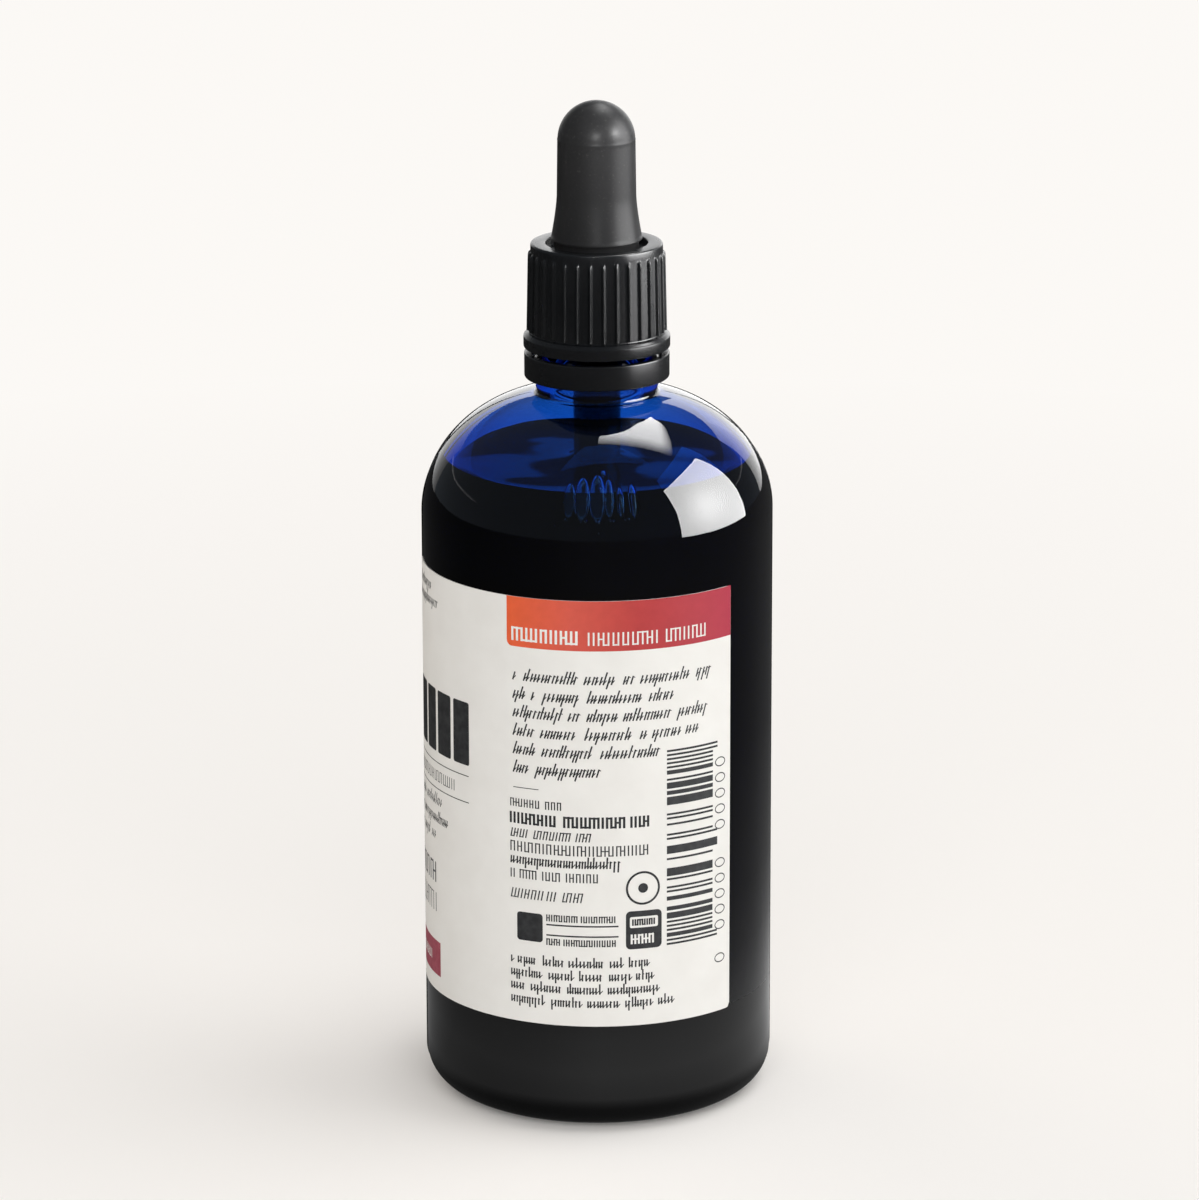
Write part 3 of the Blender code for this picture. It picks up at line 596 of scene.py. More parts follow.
def tamper_band():
    """The tamper band with the torn stubs of its bridges."""
    outline = in_mm((9.85, 113.35), (10.74, 113.35, 0.22), (10.74, 109.6, 0.35), (9.75, 109.6, 0.1),
                    (9.35, 110.2, 0.1), (9.35, 110.95, 0.1), (9.85, 110.95, 0.1), (9.85, 113.3))
    made = turned("tamper_ring", rounded(outline, steps=5), bearings(160))
    mesh = bmesh.new()
    mesh.from_mesh(made.data)
    for index in range(STUBS):
        turn = math.tau * (index + 0.5) / STUBS
        base = []
        for across, along in ((-0.22, -0.35), (0.22, -0.35), (0.22, 0.35), (-0.22, 0.35)):
            radius = (STUB_R + across) * MM
            angle = turn + along / STUB_R
            base.append((radius * math.sin(angle), -radius * math.cos(angle)))
        lower = [mesh.verts.new((x, y, STUB_FOOT)) for x, y in base]
        centre = Vector((sum(x for x, _ in base) / 4, sum(y for _, y in base) / 4))
        upper = []
        for place, (x, y) in enumerate(base):
            inward = Vector((x, y)).lerp(centre, 0.35)
            upper.append(mesh.verts.new((inward.x, inward.y, (STUB_TOP + 0.07 * (place % 2)) * MM)))
        mesh.faces.new(upper)
        mesh.faces.new(list(reversed(lower)))
        for place in range(4):
            following = (place + 1) % 4
            mesh.faces.new((lower[place], lower[following], upper[following], upper[place]))
    bmesh.ops.recalc_face_normals(mesh, faces=mesh.faces)
    mesh.to_mesh(made.data)
    mesh.free()
    made.data.set_sharp_from_angle(angle=HARD_EDGE)
    made.data.materials.append(PLASTIC)
    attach(made, "band")
    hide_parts("tamper_band")


# Label. Its print is laid out by bearing and height: 1 mm along the paper is MM_DEG degrees.

PAPER_R = BODY_R + 0.12 * MM
INK_STEP = 0.012 * MM
PRINT_R = PAPER_R + INK_STEP
MM_DEG = math.degrees(1 * MM / PAPER_R)


def on_bottle(bearing, height, radius):
    """A point at a bearing in degrees."""
    angle = math.radians(bearing)
    return radius * math.sin(angle), -radius * math.cos(angle), height


def label_sheet():
    """The paper: a thin curved sheet with slightly rounded corners."""
    mesh = bmesh.new()
    steps, rows = 286, 24
    width, corner = LABEL_TO - LABEL_FROM, LABEL_CORNER * MM_DEG
    stops = {LABEL_FROM, LABEL_FROM + corner / 2, LABEL_TO - corner / 2, LABEL_TO}
    stops |= {LABEL_FROM + width * step / steps for step in range(1, steps)}
    sheets = []
    for radius in (BODY_R + 0.02 * MM, PAPER_R):
        columns = []
        for bearing in sorted(stops):
            edge = min(bearing - LABEL_FROM, LABEL_TO - bearing) / corner
            cut = 0.0 if edge >= 1 else (1 - math.sqrt(1 - (1 - edge) ** 2)) * LABEL_CORNER * MM
            low, high = LABEL_Z0 + cut, LABEL_Z1 - cut
            heights = [low + (high - low) * row / rows for row in range(rows + 1)]
            columns.append([mesh.verts.new(on_bottle(bearing, height, radius)) for height in heights])
        sheets.append(columns)
    inner, outer = sheets
    for column in range(len(inner) - 1):
        following = column + 1
        for row in range(rows):
            for sheet, turn in ((inner, 1), (outer, -1)):
                left, right = sheet[column], sheet[following]
                mesh.faces.new((left[row], right[row], right[row + 1], left[row + 1])[::turn])
        for row in (0, rows):
            edge = inner[column][row], inner[following][row], outer[following][row], outer[column][row]
            mesh.faces.new(edge)
    for column in (0, -1):
        back, front = inner[column], outer[column]
        for row in range(rows):
            mesh.faces.new((back[row], back[row + 1], front[row + 1], front[row]))
    bmesh.ops.recalc_face_normals(mesh, faces=mesh.faces)
    made = finished("paper_label", mesh)
    made.data.materials.append(PAPER)
    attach(made, "bottle_body")
    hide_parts("label")


class Print:
    """One colour of the label's print: flat shapes a hair above the paper."""

    def __init__(self, name, material, radius=PRINT_R):
        self.name, self.material, self.radius = name, material, radius
        self.mesh = bmesh.new()

    def quad(self, corners):
        """Four (bearing, height in mm) corners, cut up so that it follows the paper."""
        start_low, end_low, end_high, start_high = corners
        span = max(abs(end_low[0] - start_low[0]), abs(end_high[0] - start_high[0]))
        steps = max(1, math.ceil(span / 1.2))
        rows = []
        for step in range(steps + 1):
            share = step / steps
            row = []
            for (x0, z0), (x1, z1) in ((start_low, end_low), (start_high, end_high)):
                x, z = x0 + (x1 - x0) * share, z0 + (z1 - z0) * share
                row.append(self.mesh.verts.new(on_bottle(x, z * MM, self.radius)))
            rows.append(row)
        for left, right in zip(rows, rows[1:]):
            self.mesh.faces.new((left[0], right[0], right[1], left[1]))

    def bar(self, left, low, right, high):
        """A rectangle between two bearings and two heights."""
        self.quad(((left, low), (right, low), (right, high), (left, high)))

    def stroke(self, start, end, pen):
        """A straight pen stroke between two (bearing, height) points."""
        run = (end[0] - start[0]) / MM_DEG
        rise = end[1] - start[1]
        length = math.hypot(run, rise)
        if length == 0:
            return
        off = (-rise / length * pen / 2 * MM_DEG, run / length * pen / 2)
        self.quad(((start[0] - off[0], start[1] - off[1]), (end[0] - off[0], end[1] - off[1]),
                   (end[0] + off[0], end[1] + off[1]), (start[0] + off[0], start[1] + off[1])))

    def ring(self, centre, width, height, pen, steps=28):
        """An ellipse drawn with a pen, or a filled one where the pen is None."""
        angles = [math.tau * step / steps for step in range(steps)]

        def outline(half_width, half_height):
            wide = half_width * MM_DEG
            return [(centre[0] + math.cos(angle) * wide, centre[1] + math.sin(angle) * half_height)
                    for angle in angles]

        outer = outline(width / 2, height / 2)
        if pen is None:
            for upper, lower in zip(range(steps // 2), range(steps - 1, steps // 2 - 1, -1)):
                self.quad((outer[(lower + 1) % steps], outer[lower], outer[upper + 1], outer[upper]))
            return
        inner = outline(width / 2 - pen, height / 2 - pen)
        for step in range(steps):
            following = (step + 1) % steps
            self.quad((outer[step], outer[following], inner[following], inner[step]))

    def block(self, left, low, right, high, rounding):
        """A rectangle with rounded corners."""
        across = rounding * MM_DEG
        stops = []
        for step in range(5):
            turn = math.radians(22.5 * step)
            stops.append((left + across * (1 - math.cos(turn)), rounding * (1 - math.sin(turn))))
        stops += [(left + right - x, cut) for x, cut in reversed(stops)]
        for (x0, cut0), (x1, cut1) in zip(stops, stops[1:]):
            self.quad(((x0, low + cut0), (x1, low + cut1), (x1, high - cut1), (x0, high - cut0)))

    def finish(self):
        bmesh.ops.recalc_face_normals(self.mesh, faces=self.mesh.faces)
        made = finished(self.name, self.mesh)
        made.data.materials.append(self.material)
        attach(made, "bottle_body")


def scribble(ink_print, left, right, base, height, pen, slant, rng):
    """A word of greeked script: slanted up and down strokes that spell nothing."""
    pitch = height * 0.42 * MM_DEG
    x = left
    low = True
    lean = height * slant * MM_DEG
    while x + pitch < right:
        tall = rng.random()
        top = base + height * (1.55 if tall > 0.86 else 1.0)
        bottom = base - height * (0.5 if 0.78 < tall <= 0.86 else 0.0)
        tilt = (top - base) / height
        drop = (bottom - base) / height
        ink_print.stroke((x + lean * drop, bottom), (x + lean * tilt, top), pen * 1.25)
        if low:
            ink_print.stroke((x, base + pen / 2), (x + pitch, base + height * 0.55), pen * 0.7)
        else:
            ink_print.stroke((x + lean, base + height - pen / 2),
                             (x + lean + pitch * 0.5, base + height * 0.8), pen * 0.7)
        low = rng.random() > 0.35
        x += pitch * rng.choice((0.85, 1.0, 1.25))


def capitals(ink_print, left, right, base, height, pen, rng, slant=0.0):
    """A word of greeked capitals: upright stems with a cross stroke here and there that spell nothing."""
    pitch = height * 0.36 * MM_DEG
    x = left
    lean = height * slant * MM_DEG
    while x < right:
        ink_print.stroke((x, base), (x + lean, base + height), pen)
        level = rng.choice((0.0, 0.5, 1.0, 1.0, 0.0))
        if x + pitch < right and rng.random() > 0.3:
            z = base + pen / 2 + (height - pen) * level
            ink_print.stroke((x + lean * level, z), (x + lean * level + pitch * 0.8, z), pen * 0.8)
        x += pitch


def words(draw, ink_print, left, base, lengths, gap, height, pen, rng, slant):
    """Words of the given lengths in mm, set from a bearing towards the right."""
    x = left
    for length in lengths:
        draw(ink_print, x, x + length * MM_DEG, base, height, pen, rng=rng, slant=slant)
        x += (length + gap) * MM_DEG


def colour_band():
    """The band of colour across the back panel's head, with a rounded lower left corner."""
    mesh = bmesh.new()
    along = mesh.verts.layers.float.new("along")
    left, right, low, high, corner = -30.4, LABEL_TO - 0.05, 74.65, 82.19, 0.9
    steps = 96
    columns = []
    for step in range(steps + 1):
        share = (step / steps) ** 1.4
        bearing = left + (right - left) * share
        near = (bearing - left) / MM_DEG
        cut = 0.0 if near >= corner else corner - math.sqrt(max(0, corner**2 - (corner - near) ** 2))
        pair = []
        for height in (low + cut, high):
            vert = mesh.verts.new(on_bottle(bearing, height * MM, PRINT_R))
            vert[along] = (bearing - left) / (right - left)
            pair.append(vert)
        columns.append(pair)
    for first, second in zip(columns, columns[1:]):
        mesh.faces.new((first[0], second[0], second[1], first[1]))
    made = finished("colour_band", mesh)
    made.data.materials.append(band_ink())
    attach(made, "bottle_body")


def back_panel():
    """The printed panel that faces the camera: greeked text, two plain marks and a generic bar code."""
    rng = random.Random(7)
    dark = Print("panel_text", INK)
    white = Print("band_text", PAPER, PRINT_R + INK_STEP)
    words(capitals, white, -28.3, 75.55, (10.4,), 1.0, 2.1, 0.36, rng, 0)
    words(capitals, white, -2.8, 75.5, (10.6, 6.6), 1.0, 2.0, 0.25, rng, 0)
    white.finish()
    story = ((69.55, (1.0, 8.4, 5.0, 1.8, 8.2, 2.8)), (66.75, (2.2, 1.1, 5.8, 8.4, 3.9)),
             (63.95, (7.8, 2.0, 4.6, 7.7, 5.4)), (61.1, (3.6, 5.9, 7.4, 1.1, 4.6, 2.3)),
             (58.3, (3.8, 8.0, 9.2)), (55.45, (2.9, 9.8)))
    for base, lengths in story:
        words(scribble, dark, -28.3, base, lengths, 0.75, 1.25, 0.19, rng, 0.32)
    dark.bar(-28.3, 53.1, -19.4, 53.22)
    left = -29.3
    facts = ((capitals, 50.2, (4.9, 2.3), 0.7, 1.25, 0.19, 0),
             (capitals, 47.6, (7.5, 9.0, 3.0), 0.9, 1.75, 0.36, 0),
             (capitals, 45.5, (2.9, 5.6, 2.0), 0.8, 1.35, 0.2, 0.2),
             (capitals, 43.3, (20.8,), 0.7, 1.6, 0.21, 0),
             (scribble, 41.4, (17.0,), 0.7, 1.15, 0.2, 0.05),
             (capitals, 39.2, (0.9, 3.0, 3.0, 4.6), 0.6, 1.4, 0.2, 0),
             (capitals, 36.1, (4.9, 1.6, 3.0), 0.8, 1.5, 0.2, 0.2))
    for draw, base, lengths, gap, height, pen, slant in facts:
        words(draw, dark, left, base, lengths, gap, height, pen, rng, slant)
    dark.block(-27.2, 29.6, -18.2, 34.0, 0.5)
    for base in (30.75, 32.35):
        dark.bar(-17.0, base, 6.6, base + 0.23)
    for base, lengths in ((33.0, (4.6, 5.0)), (29.3, (2.0, 7.6))):
        words(capitals, dark, -16.8, base, lengths, 0.6, 1.05, 0.2, rng, 0)
    dark.ring((14.7, 38.2), 5.2, 5.2, 0.33, 48)
    dark.ring((14.7, 38.2), 1.5, 1.5, None, 24)
    dark.block(9.0, 28.8, 21.0, 34.7, 0.7)
    contents = ((26.0, (0.5, 3.4, 3.3, 5.5, 2.2, 3.2)), (23.95, (5.4, 4.0, 3.8, 3.4, 3.0)),
                (21.9, (2.6, 5.0, 5.4, 7.8)), (19.8, (5.8, 4.8, 5.0, 4.4, 2.8)))
    for base, lengths in contents:
        words(scribble, dark, left, base, lengths, 0.62, 1.05, 0.19, rng, 0.0)
    bar_code(dark, rng)
    dark.finish()
    pale = Print("mark_bars", PAPER, PRINT_R + INK_STEP)
    pale.block(10.3, 32.1, 19.7, 33.8, 0.25)
    words(capitals, pale, 10.9, 29.6, (3.6,), 0.5, 1.5, 0.3, rng, 0)
    pale.finish()
    inner = Print("mark_text", INK, PRINT_R + 2 * INK_STEP)
    words(capitals, inner, 11.3, 32.45, (3.3,), 0.5, 1.0, 0.26, rng, 0)
    inner.finish()


def bar_code(dark, rng):
    """Bars of made-up widths across the paper, with longer guard bars, and a column of zeros beside them."""
    foot, length, modules, guards = 28.9, 30.1, 92, (1, 1, 1)
    left, short_right, long_right = 22.8, 40.4, 42.4
    pattern = list(guards)
    while sum(pattern) < modules or len(pattern) % 2:
        pattern.append(rng.choice((1, 1, 1, 2, 2, 3, 1, 2, 3, 4)))
    pattern += guards
    module = length / sum(pattern)
    count = len(pattern)
    height = foot
    for place, width in enumerate(pattern):
        top = height + width * module
        if place % 2 == 0:
            guard = place < 3 or place > count - 4 or abs(place - count // 2) < 3
            dark.bar(left, height, long_right if guard else short_right, top)
        height = top
    for base in [25.2] + [start + 2.42 * place for start in (30.4, 46.0) for place in range(5)]:
        dark.ring((43.6, base), 2.1, 1.5, 0.17, 18)


def front_panel():
    """The front panel at the left: a greeked heading between rules, small text and a block of colour."""
    rng = random.Random(23)
    dark = Print("front_text", INK)
    grey_print = Print("front_names", GREY_INK)
    middle = -95.0

    def centred(base, half, first, rest, height):
        lengths = (*first, half * 2 - rest)
        words(scribble, dark, middle - half * MM_DEG, base, lengths, 0.75, height, 0.15, rng, 0.32)

    for base, half in ((79.2, 12.0), (76.9, 14.5)):
        centred(base, half, (5.2, 7.4, 2.0), 17, 1.15)
    x, gap = -46.5, 0.75
    for width in (3.7, 4.0, 3.6, 4.9, 3.7, 4.2, 4.1, 4.1, 1.6, 4.2):
        dark.block(x - width * MM_DEG, 54.7, x, 64.4, 0.35)
        x -= (width + gap) * MM_DEG
    far = x + gap * MM_DEG
    for height in (53.0, 48.9):
        dark.bar(far, height, -46.8, height + 0.14)
    words(capitals, dark, far + 0.6 * MM_DEG, 50.1, (15.0, 3.0, 20.4), 1.2, 1.7, 0.15, rng, 0.0)
    for base, half in ((46.4, 15.0), (43.6, 17.2), (40.9, 12.4)):
        centred(base, half, (6.0, 3.0, 7.0, 4.0), 23, 1.2)
    names = middle - 13.2 * MM_DEG
    words(capitals, grey_print, names, 34.0, (26.4,), 1.0, 3.2, 0.42, rng, 0.0)
    words(capitals, grey_print, names, 29.4, (15.6, 9.6), 1.2, 3.0, 0.25, rng, 0.0)
    dark.finish()
    grey_print.finish()
    block = Print("front_block", ink("mauve_ink", (0.34, 0.07, 0.10)))
    half = 13.8 * MM_DEG
    block.bar(middle - half, 19.4, middle + half, 24.8)
    block.finish()
    pale = Print("front_block_text", PAPER, PRINT_R + INK_STEP)
    words(capitals, pale, middle - 10.4 * MM_DEG, 21.3, (6.0, 4.0, 8.6), 1.1, 1.5, 0.2, rng, 0.0)
    pale.finish()


glass_bottle()
liquid()
pipette()
bulb()
cap()
tamper_band()
label_sheet()
colour_band()
back_panel()
front_panel()


# Bubbles at the liquid line, in the front wall, in mm.
# A tall one is (bearing, half width, half height, lift from the line, depth below the skin, fullness), where
# the fullness is how deep it is for its width. A small one is (bearing, half width, lift).

TALL_BUBBLES = (
    (-10.0, 0.9, 2.3, -0.8, 1.5, 0.3), (-5.4, 1.15, 2.9, -0.6, 1.5, 0.35), (0.2, 1.25, 3.2, -0.6, 1.6, 0.3),
    (4.3, 0.7, 2.5, -0.4, 1.3, 0.4), (8.2, 0.6, 2.1, -0.9, 1.3, 0.8), (12.9, 0.85, 2.4, -0.8, 1.4, 0.8),
    (2.4, 0.4, 0.5, 2.9, 1.2, 0.7))
SMALL_BUBBLES = (
    (-10.8, 0.17, -3.1), (-9.9, 0.17, -3.15), (-5.6, 0.15, -3.3), (-3.9, 0.24, -3.2), (0.5, 0.3, -3.3),
    (4.3, 0.2, -3.1), (5.4, 0.18, -3.2), (9.4, 0.15, -3.1), (10.5, 0.18, -3.0), (0.5, 0.18, -4.9),
    (-14.3, 0.17, -4.0), (1.2, 0.3, 1.2))


def bubbles():
    """Bubbles of air in the glass of the front wall, across the liquid line."""
    mesh = bmesh.new()
    small = tuple((bearing, size, size, lift, 0.7, 1.0) for bearing, size, lift in SMALL_BUBBLES)
    for bearing, width, height, lift, depth, fullness in TALL_BUBBLES + small:
        for vert in bmesh.ops.create_uvsphere(mesh, u_segments=36, v_segments=24, radius=1)["verts"]:
            z = LIQUID_Z + (lift + vert.co.z * height) * MM
            share = max(0, z - SHOULDER_Z) / SHOULDER_RISE
            skin = SHOULDER_CENTRE_R + (BODY_R - SHOULDER_CENTRE_R) * math.sqrt(1 - share * share)
            across = math.degrees(vert.co.x * width * MM / skin)
            vert.co = on_bottle(bearing + across, z, skin - (depth + vert.co.y * width * fullness) * MM)
    made = finished("bubbles", mesh)
    material, node = shader("bubble_air", (1, 1, 1), 0.0, IOR=0.66, Transmission_Weight=1.0)
    bump(material, node, noise(material, 300, 1.0), 0.04, 0.1 * MM)
    made.data.materials.append(material)
    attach(made, "bottle_body")


bubbles()


# Stage: floor, lights, world and camera

CAMERA_PITCH, CAMERA_ROLL, CAMERA_REACH = math.radians(15.7731), math.radians(-0.12673), 0.898714
CAMERA_AIM = Vector((0.00031, 0, 0.075051))
FOCAL_PX, IMAGE_PX, SENSOR_MM = 6017.28, 1199, 36
PAPER_WHITE = (0.97, 0.945, 0.915, 1)
MIRROR_RAYS = ("Is Camera Ray", "Is Glossy Ray", "Is Transmission Ray")


def mixed(tree, factor, first, second):
    """Two shaders mixed by a value."""
    node = add(tree, "MixShader")
    for place, source in enumerate((factor, first, second)):
        tree.links.new(source, node.inputs[place])
    return node.outputs[0]


def seen_directly(tree):
    """A value that is 1 for the rays of the camera, of mirrors and of glass."""
    path = add(tree, "LightPath")
    total = path.outputs[MIRROR_RAYS[0]]
    for kind in MIRROR_RAYS[1:]:
        both = add(tree, "Math")
        both.operation = "MAXIMUM"
        tree.links.new(total, both.inputs[0])
        tree.links.new(path.outputs[kind], both.inputs[1])
        total = both.outputs[0]
    return total


def floor():
    """Pale paper that keeps the bottle's shadow near its foot and meets the backdrop's white further out."""
    mesh = bmesh.new()
    bmesh.ops.create_grid(mesh, x_segments=4, y_segments=4, size=6)
    made = finished("floor", mesh)
    material = bpy.data.materials.new("floor_white")
    material.use_nodes = True
    tree = material.node_tree
    tree.nodes.clear()
    diffuse = add(tree, "BsdfDiffuse", Color=(0.965, 0.935, 0.90, 1)).outputs[0]
    glow = add(tree, "Emission", Color=PAPER_WHITE).outputs[0]
    reach = add(tree, "VectorMath")
    reach.operation = "LENGTH"
    tree.links.new(add(tree, "TexCoord").outputs["Object"], reach.inputs[0])
    end = 0.45
    far = spread(material, reach.outputs["Value"], 0, 1, 0, end)
    shares = ((0.0215, 0.08), (0.0265, 0.22), (0.036, 0.37), (0.09, 0.46), (end, 1.0))
    share = ramp(material, far, *((place / end, grey(value)) for place, value in shares))
    near_white = mixed(tree, share, diffuse, glow)
    surface = mixed(tree, seen_directly(tree), diffuse, near_white)
    tree.links.new(surface, add(tree, "OutputMaterial").inputs["Surface"])
    made.data.materials.append(material)


def world():
    """White where it is seen, and dimmer as a light."""
    made = bpy.data.worlds.new("studio")
    SCENE.world = made
    made.use_nodes = True
    tree = made.node_tree
    tree.nodes.clear()
    seen = add(tree, "Background", Color=PAPER_WHITE, Strength=1.0).outputs[0]
    light = add(tree, "Background", Color=(1, 0.995, 0.985, 1), Strength=0.30).outputs[0]
    tree.links.new(mixed(tree, seen_directly(tree), light, seen), add(tree, "OutputWorld").inputs["Surface"])


def direction(bearing, elevation):
    turn, lift = math.radians(bearing), math.radians(elevation)
    return Vector((math.cos(lift) * math.sin(turn), -math.cos(lift) * math.cos(turn), math.sin(lift)))


def aimed(name, data, aim, bearing, elevation, distance):
    """The object of a lamp that faces a point."""
    made = bpy.data.objects.new(name, data)
    SCENE.collection.objects.link(made)
    made.location = aim + direction(bearing, elevation) * distance
    made.rotation_euler = (aim - made.location).to_track_quat("-Z", "Y").to_euler()
    made.visible_camera = made.visible_transmission = False
    return made


def lamp(name, bearing, elevation, distance, size, power, colour=(1, 1, 1)):
    """A square area lamp that faces the bottle. It lights matt surfaces; cards stand for it in mirrors."""
    data = bpy.data.lights.new(name, "AREA")
    data.shape = "RECTANGLE"
    data.size = data.size_y = size
    data.energy = power
    data.color = colour
    aimed(name, data, Vector((0, 0, 0.07)), bearing, elevation, distance).visible_glossy = False


def snoot(name, bearing, elevation, power):
    """A small lamp with a narrow cone that reaches the bulb only."""
    data = bpy.data.lights.new(name, "SPOT")
    data.energy = power
    data.spot_size = math.radians(1.6)
    data.spot_blend = 1.0
    data.shadow_soft_size = 0.012
    aimed(name, data, Vector((0, 0, 0.1445)), bearing, elevation, 1.2)


def card_light():
    """The light of the studio cards: the colour kept on their points."""
    made = bpy.data.materials.new("card")
    made.use_nodes = True
    tree = made.node_tree
    tree.nodes.clear()
    source = add(tree, "Attribute")
    source.attribute_name = "glow"
    light = add(tree, "Emission")
    tree.links.new(source.outputs["Color"], light.inputs["Color"])
    tree.links.new(light.outputs[0], add(tree, "OutputMaterial").inputs["Surface"])
    return made


CARD_LIGHT = card_light()


def lit_rows(name, rows, gloss=True, glass=False):
    """A studio card that only mirrors or glass show, from rows of (place, colour) points."""
    mesh = bmesh.new()
    tone = mesh.verts.layers.float_color.new("glow")
    grid = []
    for row in rows:
        line = []
        for place, colour in row:
            vert = mesh.verts.new(place)
            vert[tone] = (*colour, 1)
            line.append(vert)
        grid.append(line)
    for lower, upper in zip(grid, grid[1:]):
        for column in range(len(lower) - 1):
            mesh.faces.new((lower[column], lower[column + 1], upper[column + 1], upper[column]))
    made = finished(name, mesh)
    made.data.materials.append(CARD_LIGHT)
    made.visible_camera = made.visible_diffuse = made.visible_shadow = False
    made.visible_glossy = gloss
    made.visible_transmission = glass


def card(name, corners, glow, steps=16, gloss=True, glass=False):
    """A four-cornered studio card. glow(across, up) gives its colour at a place."""
    low_left, low_right, high_right, high_left = (Vector(corner) for corner in corners)
    rows = []
    for row in range(steps + 1):
        up = row / steps
        line = []
        for column in range(steps + 1):
            across = column / steps
            place = low_left.lerp(low_right, across).lerp(high_left.lerp(high_right, across), up)
            line.append((place, glow(across, up)))
        rows.append(line)
    lit_rows(name, rows, gloss, glass)


def between(stops, place):
    """The value at a place along (place, value) stops."""
    for (start, first), (end, last) in zip(stops, stops[1:]):
        if place <= end:
            return first + (last - first) * (place - start) / (end - start)
    return stops[-1][1]


def window(reach, *corners, centre=Vector((0, 0, 0.1))):
    """Corners given as bearings and elevations in degrees, seen from a point in the bottle."""
    return [centre + direction(bearing, elevation) * reach for bearing, elevation in corners]


def dim(across, up):
    """The room's dim, cool grey."""
    return 0.115, 0.13, 0.145


def room():
    """A dim room of 12 walls and a ceiling. Behind the bottle its walls fade into the bright backdrop."""
    reach, top, foot, walls = 2.0, 2.2, -0.3, 12

    def height_at(elevation):
        return 0.1 + reach * math.tan(math.radians(elevation))

    def fading(across, up):
        share = 1 - min(1, up * 2)
        return tuple(tone + (0.9 - tone) * share * share for tone in dim(across, up))

    for index in range(walls):
        start, end = index * 30 - 180, index * 30 - 150
        left, right = direction(start, 0) * reach, direction(end, 0) * reach
        if max(abs(start), abs(end)) > 95:
            edge, dark = height_at(13), height_at(16)
            parts = (("low", foot, edge, dim), ("edge", edge, dark, fading), ("high", dark, top, dim))
        else:
            parts = (("low", foot, height_at(-9), dim), ("high", height_at(-9), top, dim))
        for part, low, high, tone in parts:
            places = (left, low), (right, low), (right, high), (left, high)
            corners = [(place.x, place.y, height) for place, height in places]
            steps = 8 if part == "edge" else 1
            card(f"room_{part}_{index}", corners, tone, steps, glass=part != "low")
    ceiling = [(x * top, y * top, top) for x, y in ((-1, -1), (1, -1), (1, 1), (-1, 1))]
    card("room_ceiling", ceiling, dim, 2, glass=True)


def backdrop():
    """The bright backdrop that the rims mirror, in strips: (start, end, first and last brightness, top)."""
    strips = ((138, 152, 1.3, 2.2, 27), (152, 170, 2.5, 2.5, 27), (170, 188, 2.5, 1.9, 19),
              (188, 208, 1.9, 0.9, 19), (208, 222, 0.8, 0.3, 19))
    for index, (start, end, first, last, top) in enumerate(strips):
        def strip(across, up, first=first, last=last):
            return grey((first + (last - first) * across) * (1 - 0.15 * up))
        card(f"backdrop_{index}", window(1.5, (start, -9), (end, -9), (end, top), (start, top)), strip, 4)


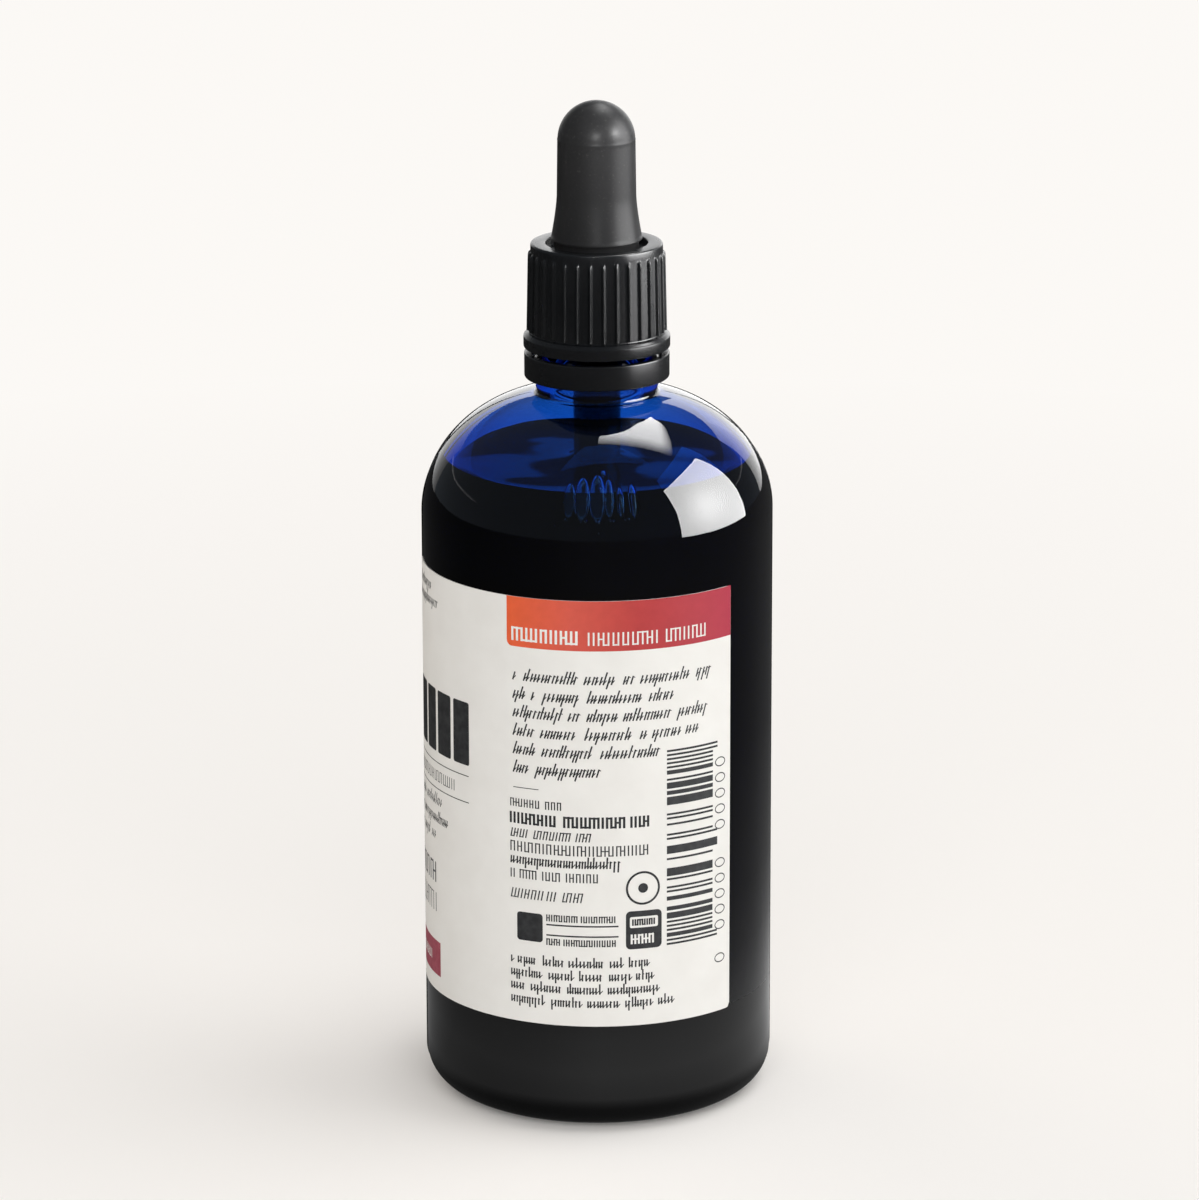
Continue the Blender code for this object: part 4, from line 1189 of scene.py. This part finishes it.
def boxes():
    """The lit boxes: one that the gloss mirrors, two dim ones that the glass shows, and one high behind."""
    def box(across, up):
        spot = math.exp(-((across - 0.45) ** 2 + (up - 0.42) ** 2) / 0.1)
        edge = min(across, 1 - across, up, 1 - up)
        return grey(11 + 7 * spot + (4.5 if edge < 0.03 else 0))

    def spark_over(across, up):
        return grey(1.5)

    def spark_side(across, up):
        return grey(4)

    def fading_box(across, up):
        return grey(11 * min(1, up * 3.0 + 0.1) * min(1, (1 - across) * 4 + 0.15))

    card("softbox", window(1.0, (55.5, -7), (112, -7), (106.5, 43), (54, 38.5)), box, 32)
    over = window(1.2, (-40, 52), (60, 52), (60, 80), (-40, 80))
    card("spark_over", over, spark_over, 1, gloss=False, glass=True)
    side = window(1.2, (55, -7), (112, -7), (106, 43), (54, 38))
    card("spark_side", side, spark_side, 1, gloss=False, glass=True)
    near = Vector((0.003, -0.016, 0.104))
    card("top_box", window(1.1, (178, 84), (98, 55), (150, 49), (176, 38), centre=near), fading_box, 16)


def ground():
    """The floor as the bottle's gloss mirrors it, with painted shade: a painted contact shadow dark at the
    foot, the brightest ring a few centimetres out, and a painted shadow towards the left.
    """
    # The rings' levels are painted shade: a painted contact shadow dark at the foot, rising to the brightest
    # ring a few centimetres out.
    rings = ((0.018, 0.05), (0.024, 0.07), (0.0275, 0.13), (0.031, 0.30), (0.036, 0.52), (0.05, 0.68),
             (0.065, 0.6), (0.09, 0.34), (0.12, 0.22), (0.2, 0.13), (0.35, 0.1), (2.1, 0.1))
    # Painted shadow by bearing: the left, where the bottle's shadow falls, mirrors darker than the front and
    # the right.
    shade_by_bearing = ((-180, 0.3), (-90, 0.3), (-30, 0.6), (0, 0.85), (45, 0.9), (90, 0.85), (130, 0.85), (180, 0.3))
    rows = []
    for radius, level in rings:
        row = []
        for bearing in range(-180, 181, 5):
            place = direction(bearing, 0) * radius
            row.append(((place.x, place.y, 0.3 * MM), grey(level * between(shade_by_bearing, bearing))))
        rows.append(row)
    lit_rows("ground", rows)


def camera():
    data = bpy.data.cameras.new("camera")
    made = bpy.data.objects.new("camera", data)
    SCENE.collection.objects.link(made)
    SCENE.camera = made
    data.sensor_fit = "HORIZONTAL"
    data.sensor_width = SENSOR_MM
    data.lens = FOCAL_PX / IMAGE_PX * SENSOR_MM
    data.clip_start = 0.01
    back = Vector((0, -math.cos(CAMERA_PITCH), math.sin(CAMERA_PITCH)))
    made.location = CAMERA_AIM + back * CAMERA_REACH
    turn = (CAMERA_AIM - made.location).to_track_quat("-Z", "Y").to_matrix().to_4x4()
    made.rotation_euler = (turn @ Matrix.Rotation(CAMERA_ROLL, 4, "Z")).to_euler()


floor()
world()
lamp("key", 84, 24, 1.1, 1.0, 1.4)
lamp("top", 95, 60, 1.1, 0.8, 5.6)
lamp("fill", 4, 30, 1.4, 1.2, 9.2)
lamp("side", -130, 25, 1.4, 1.0, 3.7, (1, 0.87, 0.74))
snoot("snoot_front", -1, 17, 60)
snoot("snoot_side", 63, 20, 130)
room()
backdrop()
boxes()
ground()
camera()

SCENE.view_settings.view_transform = "Standard"
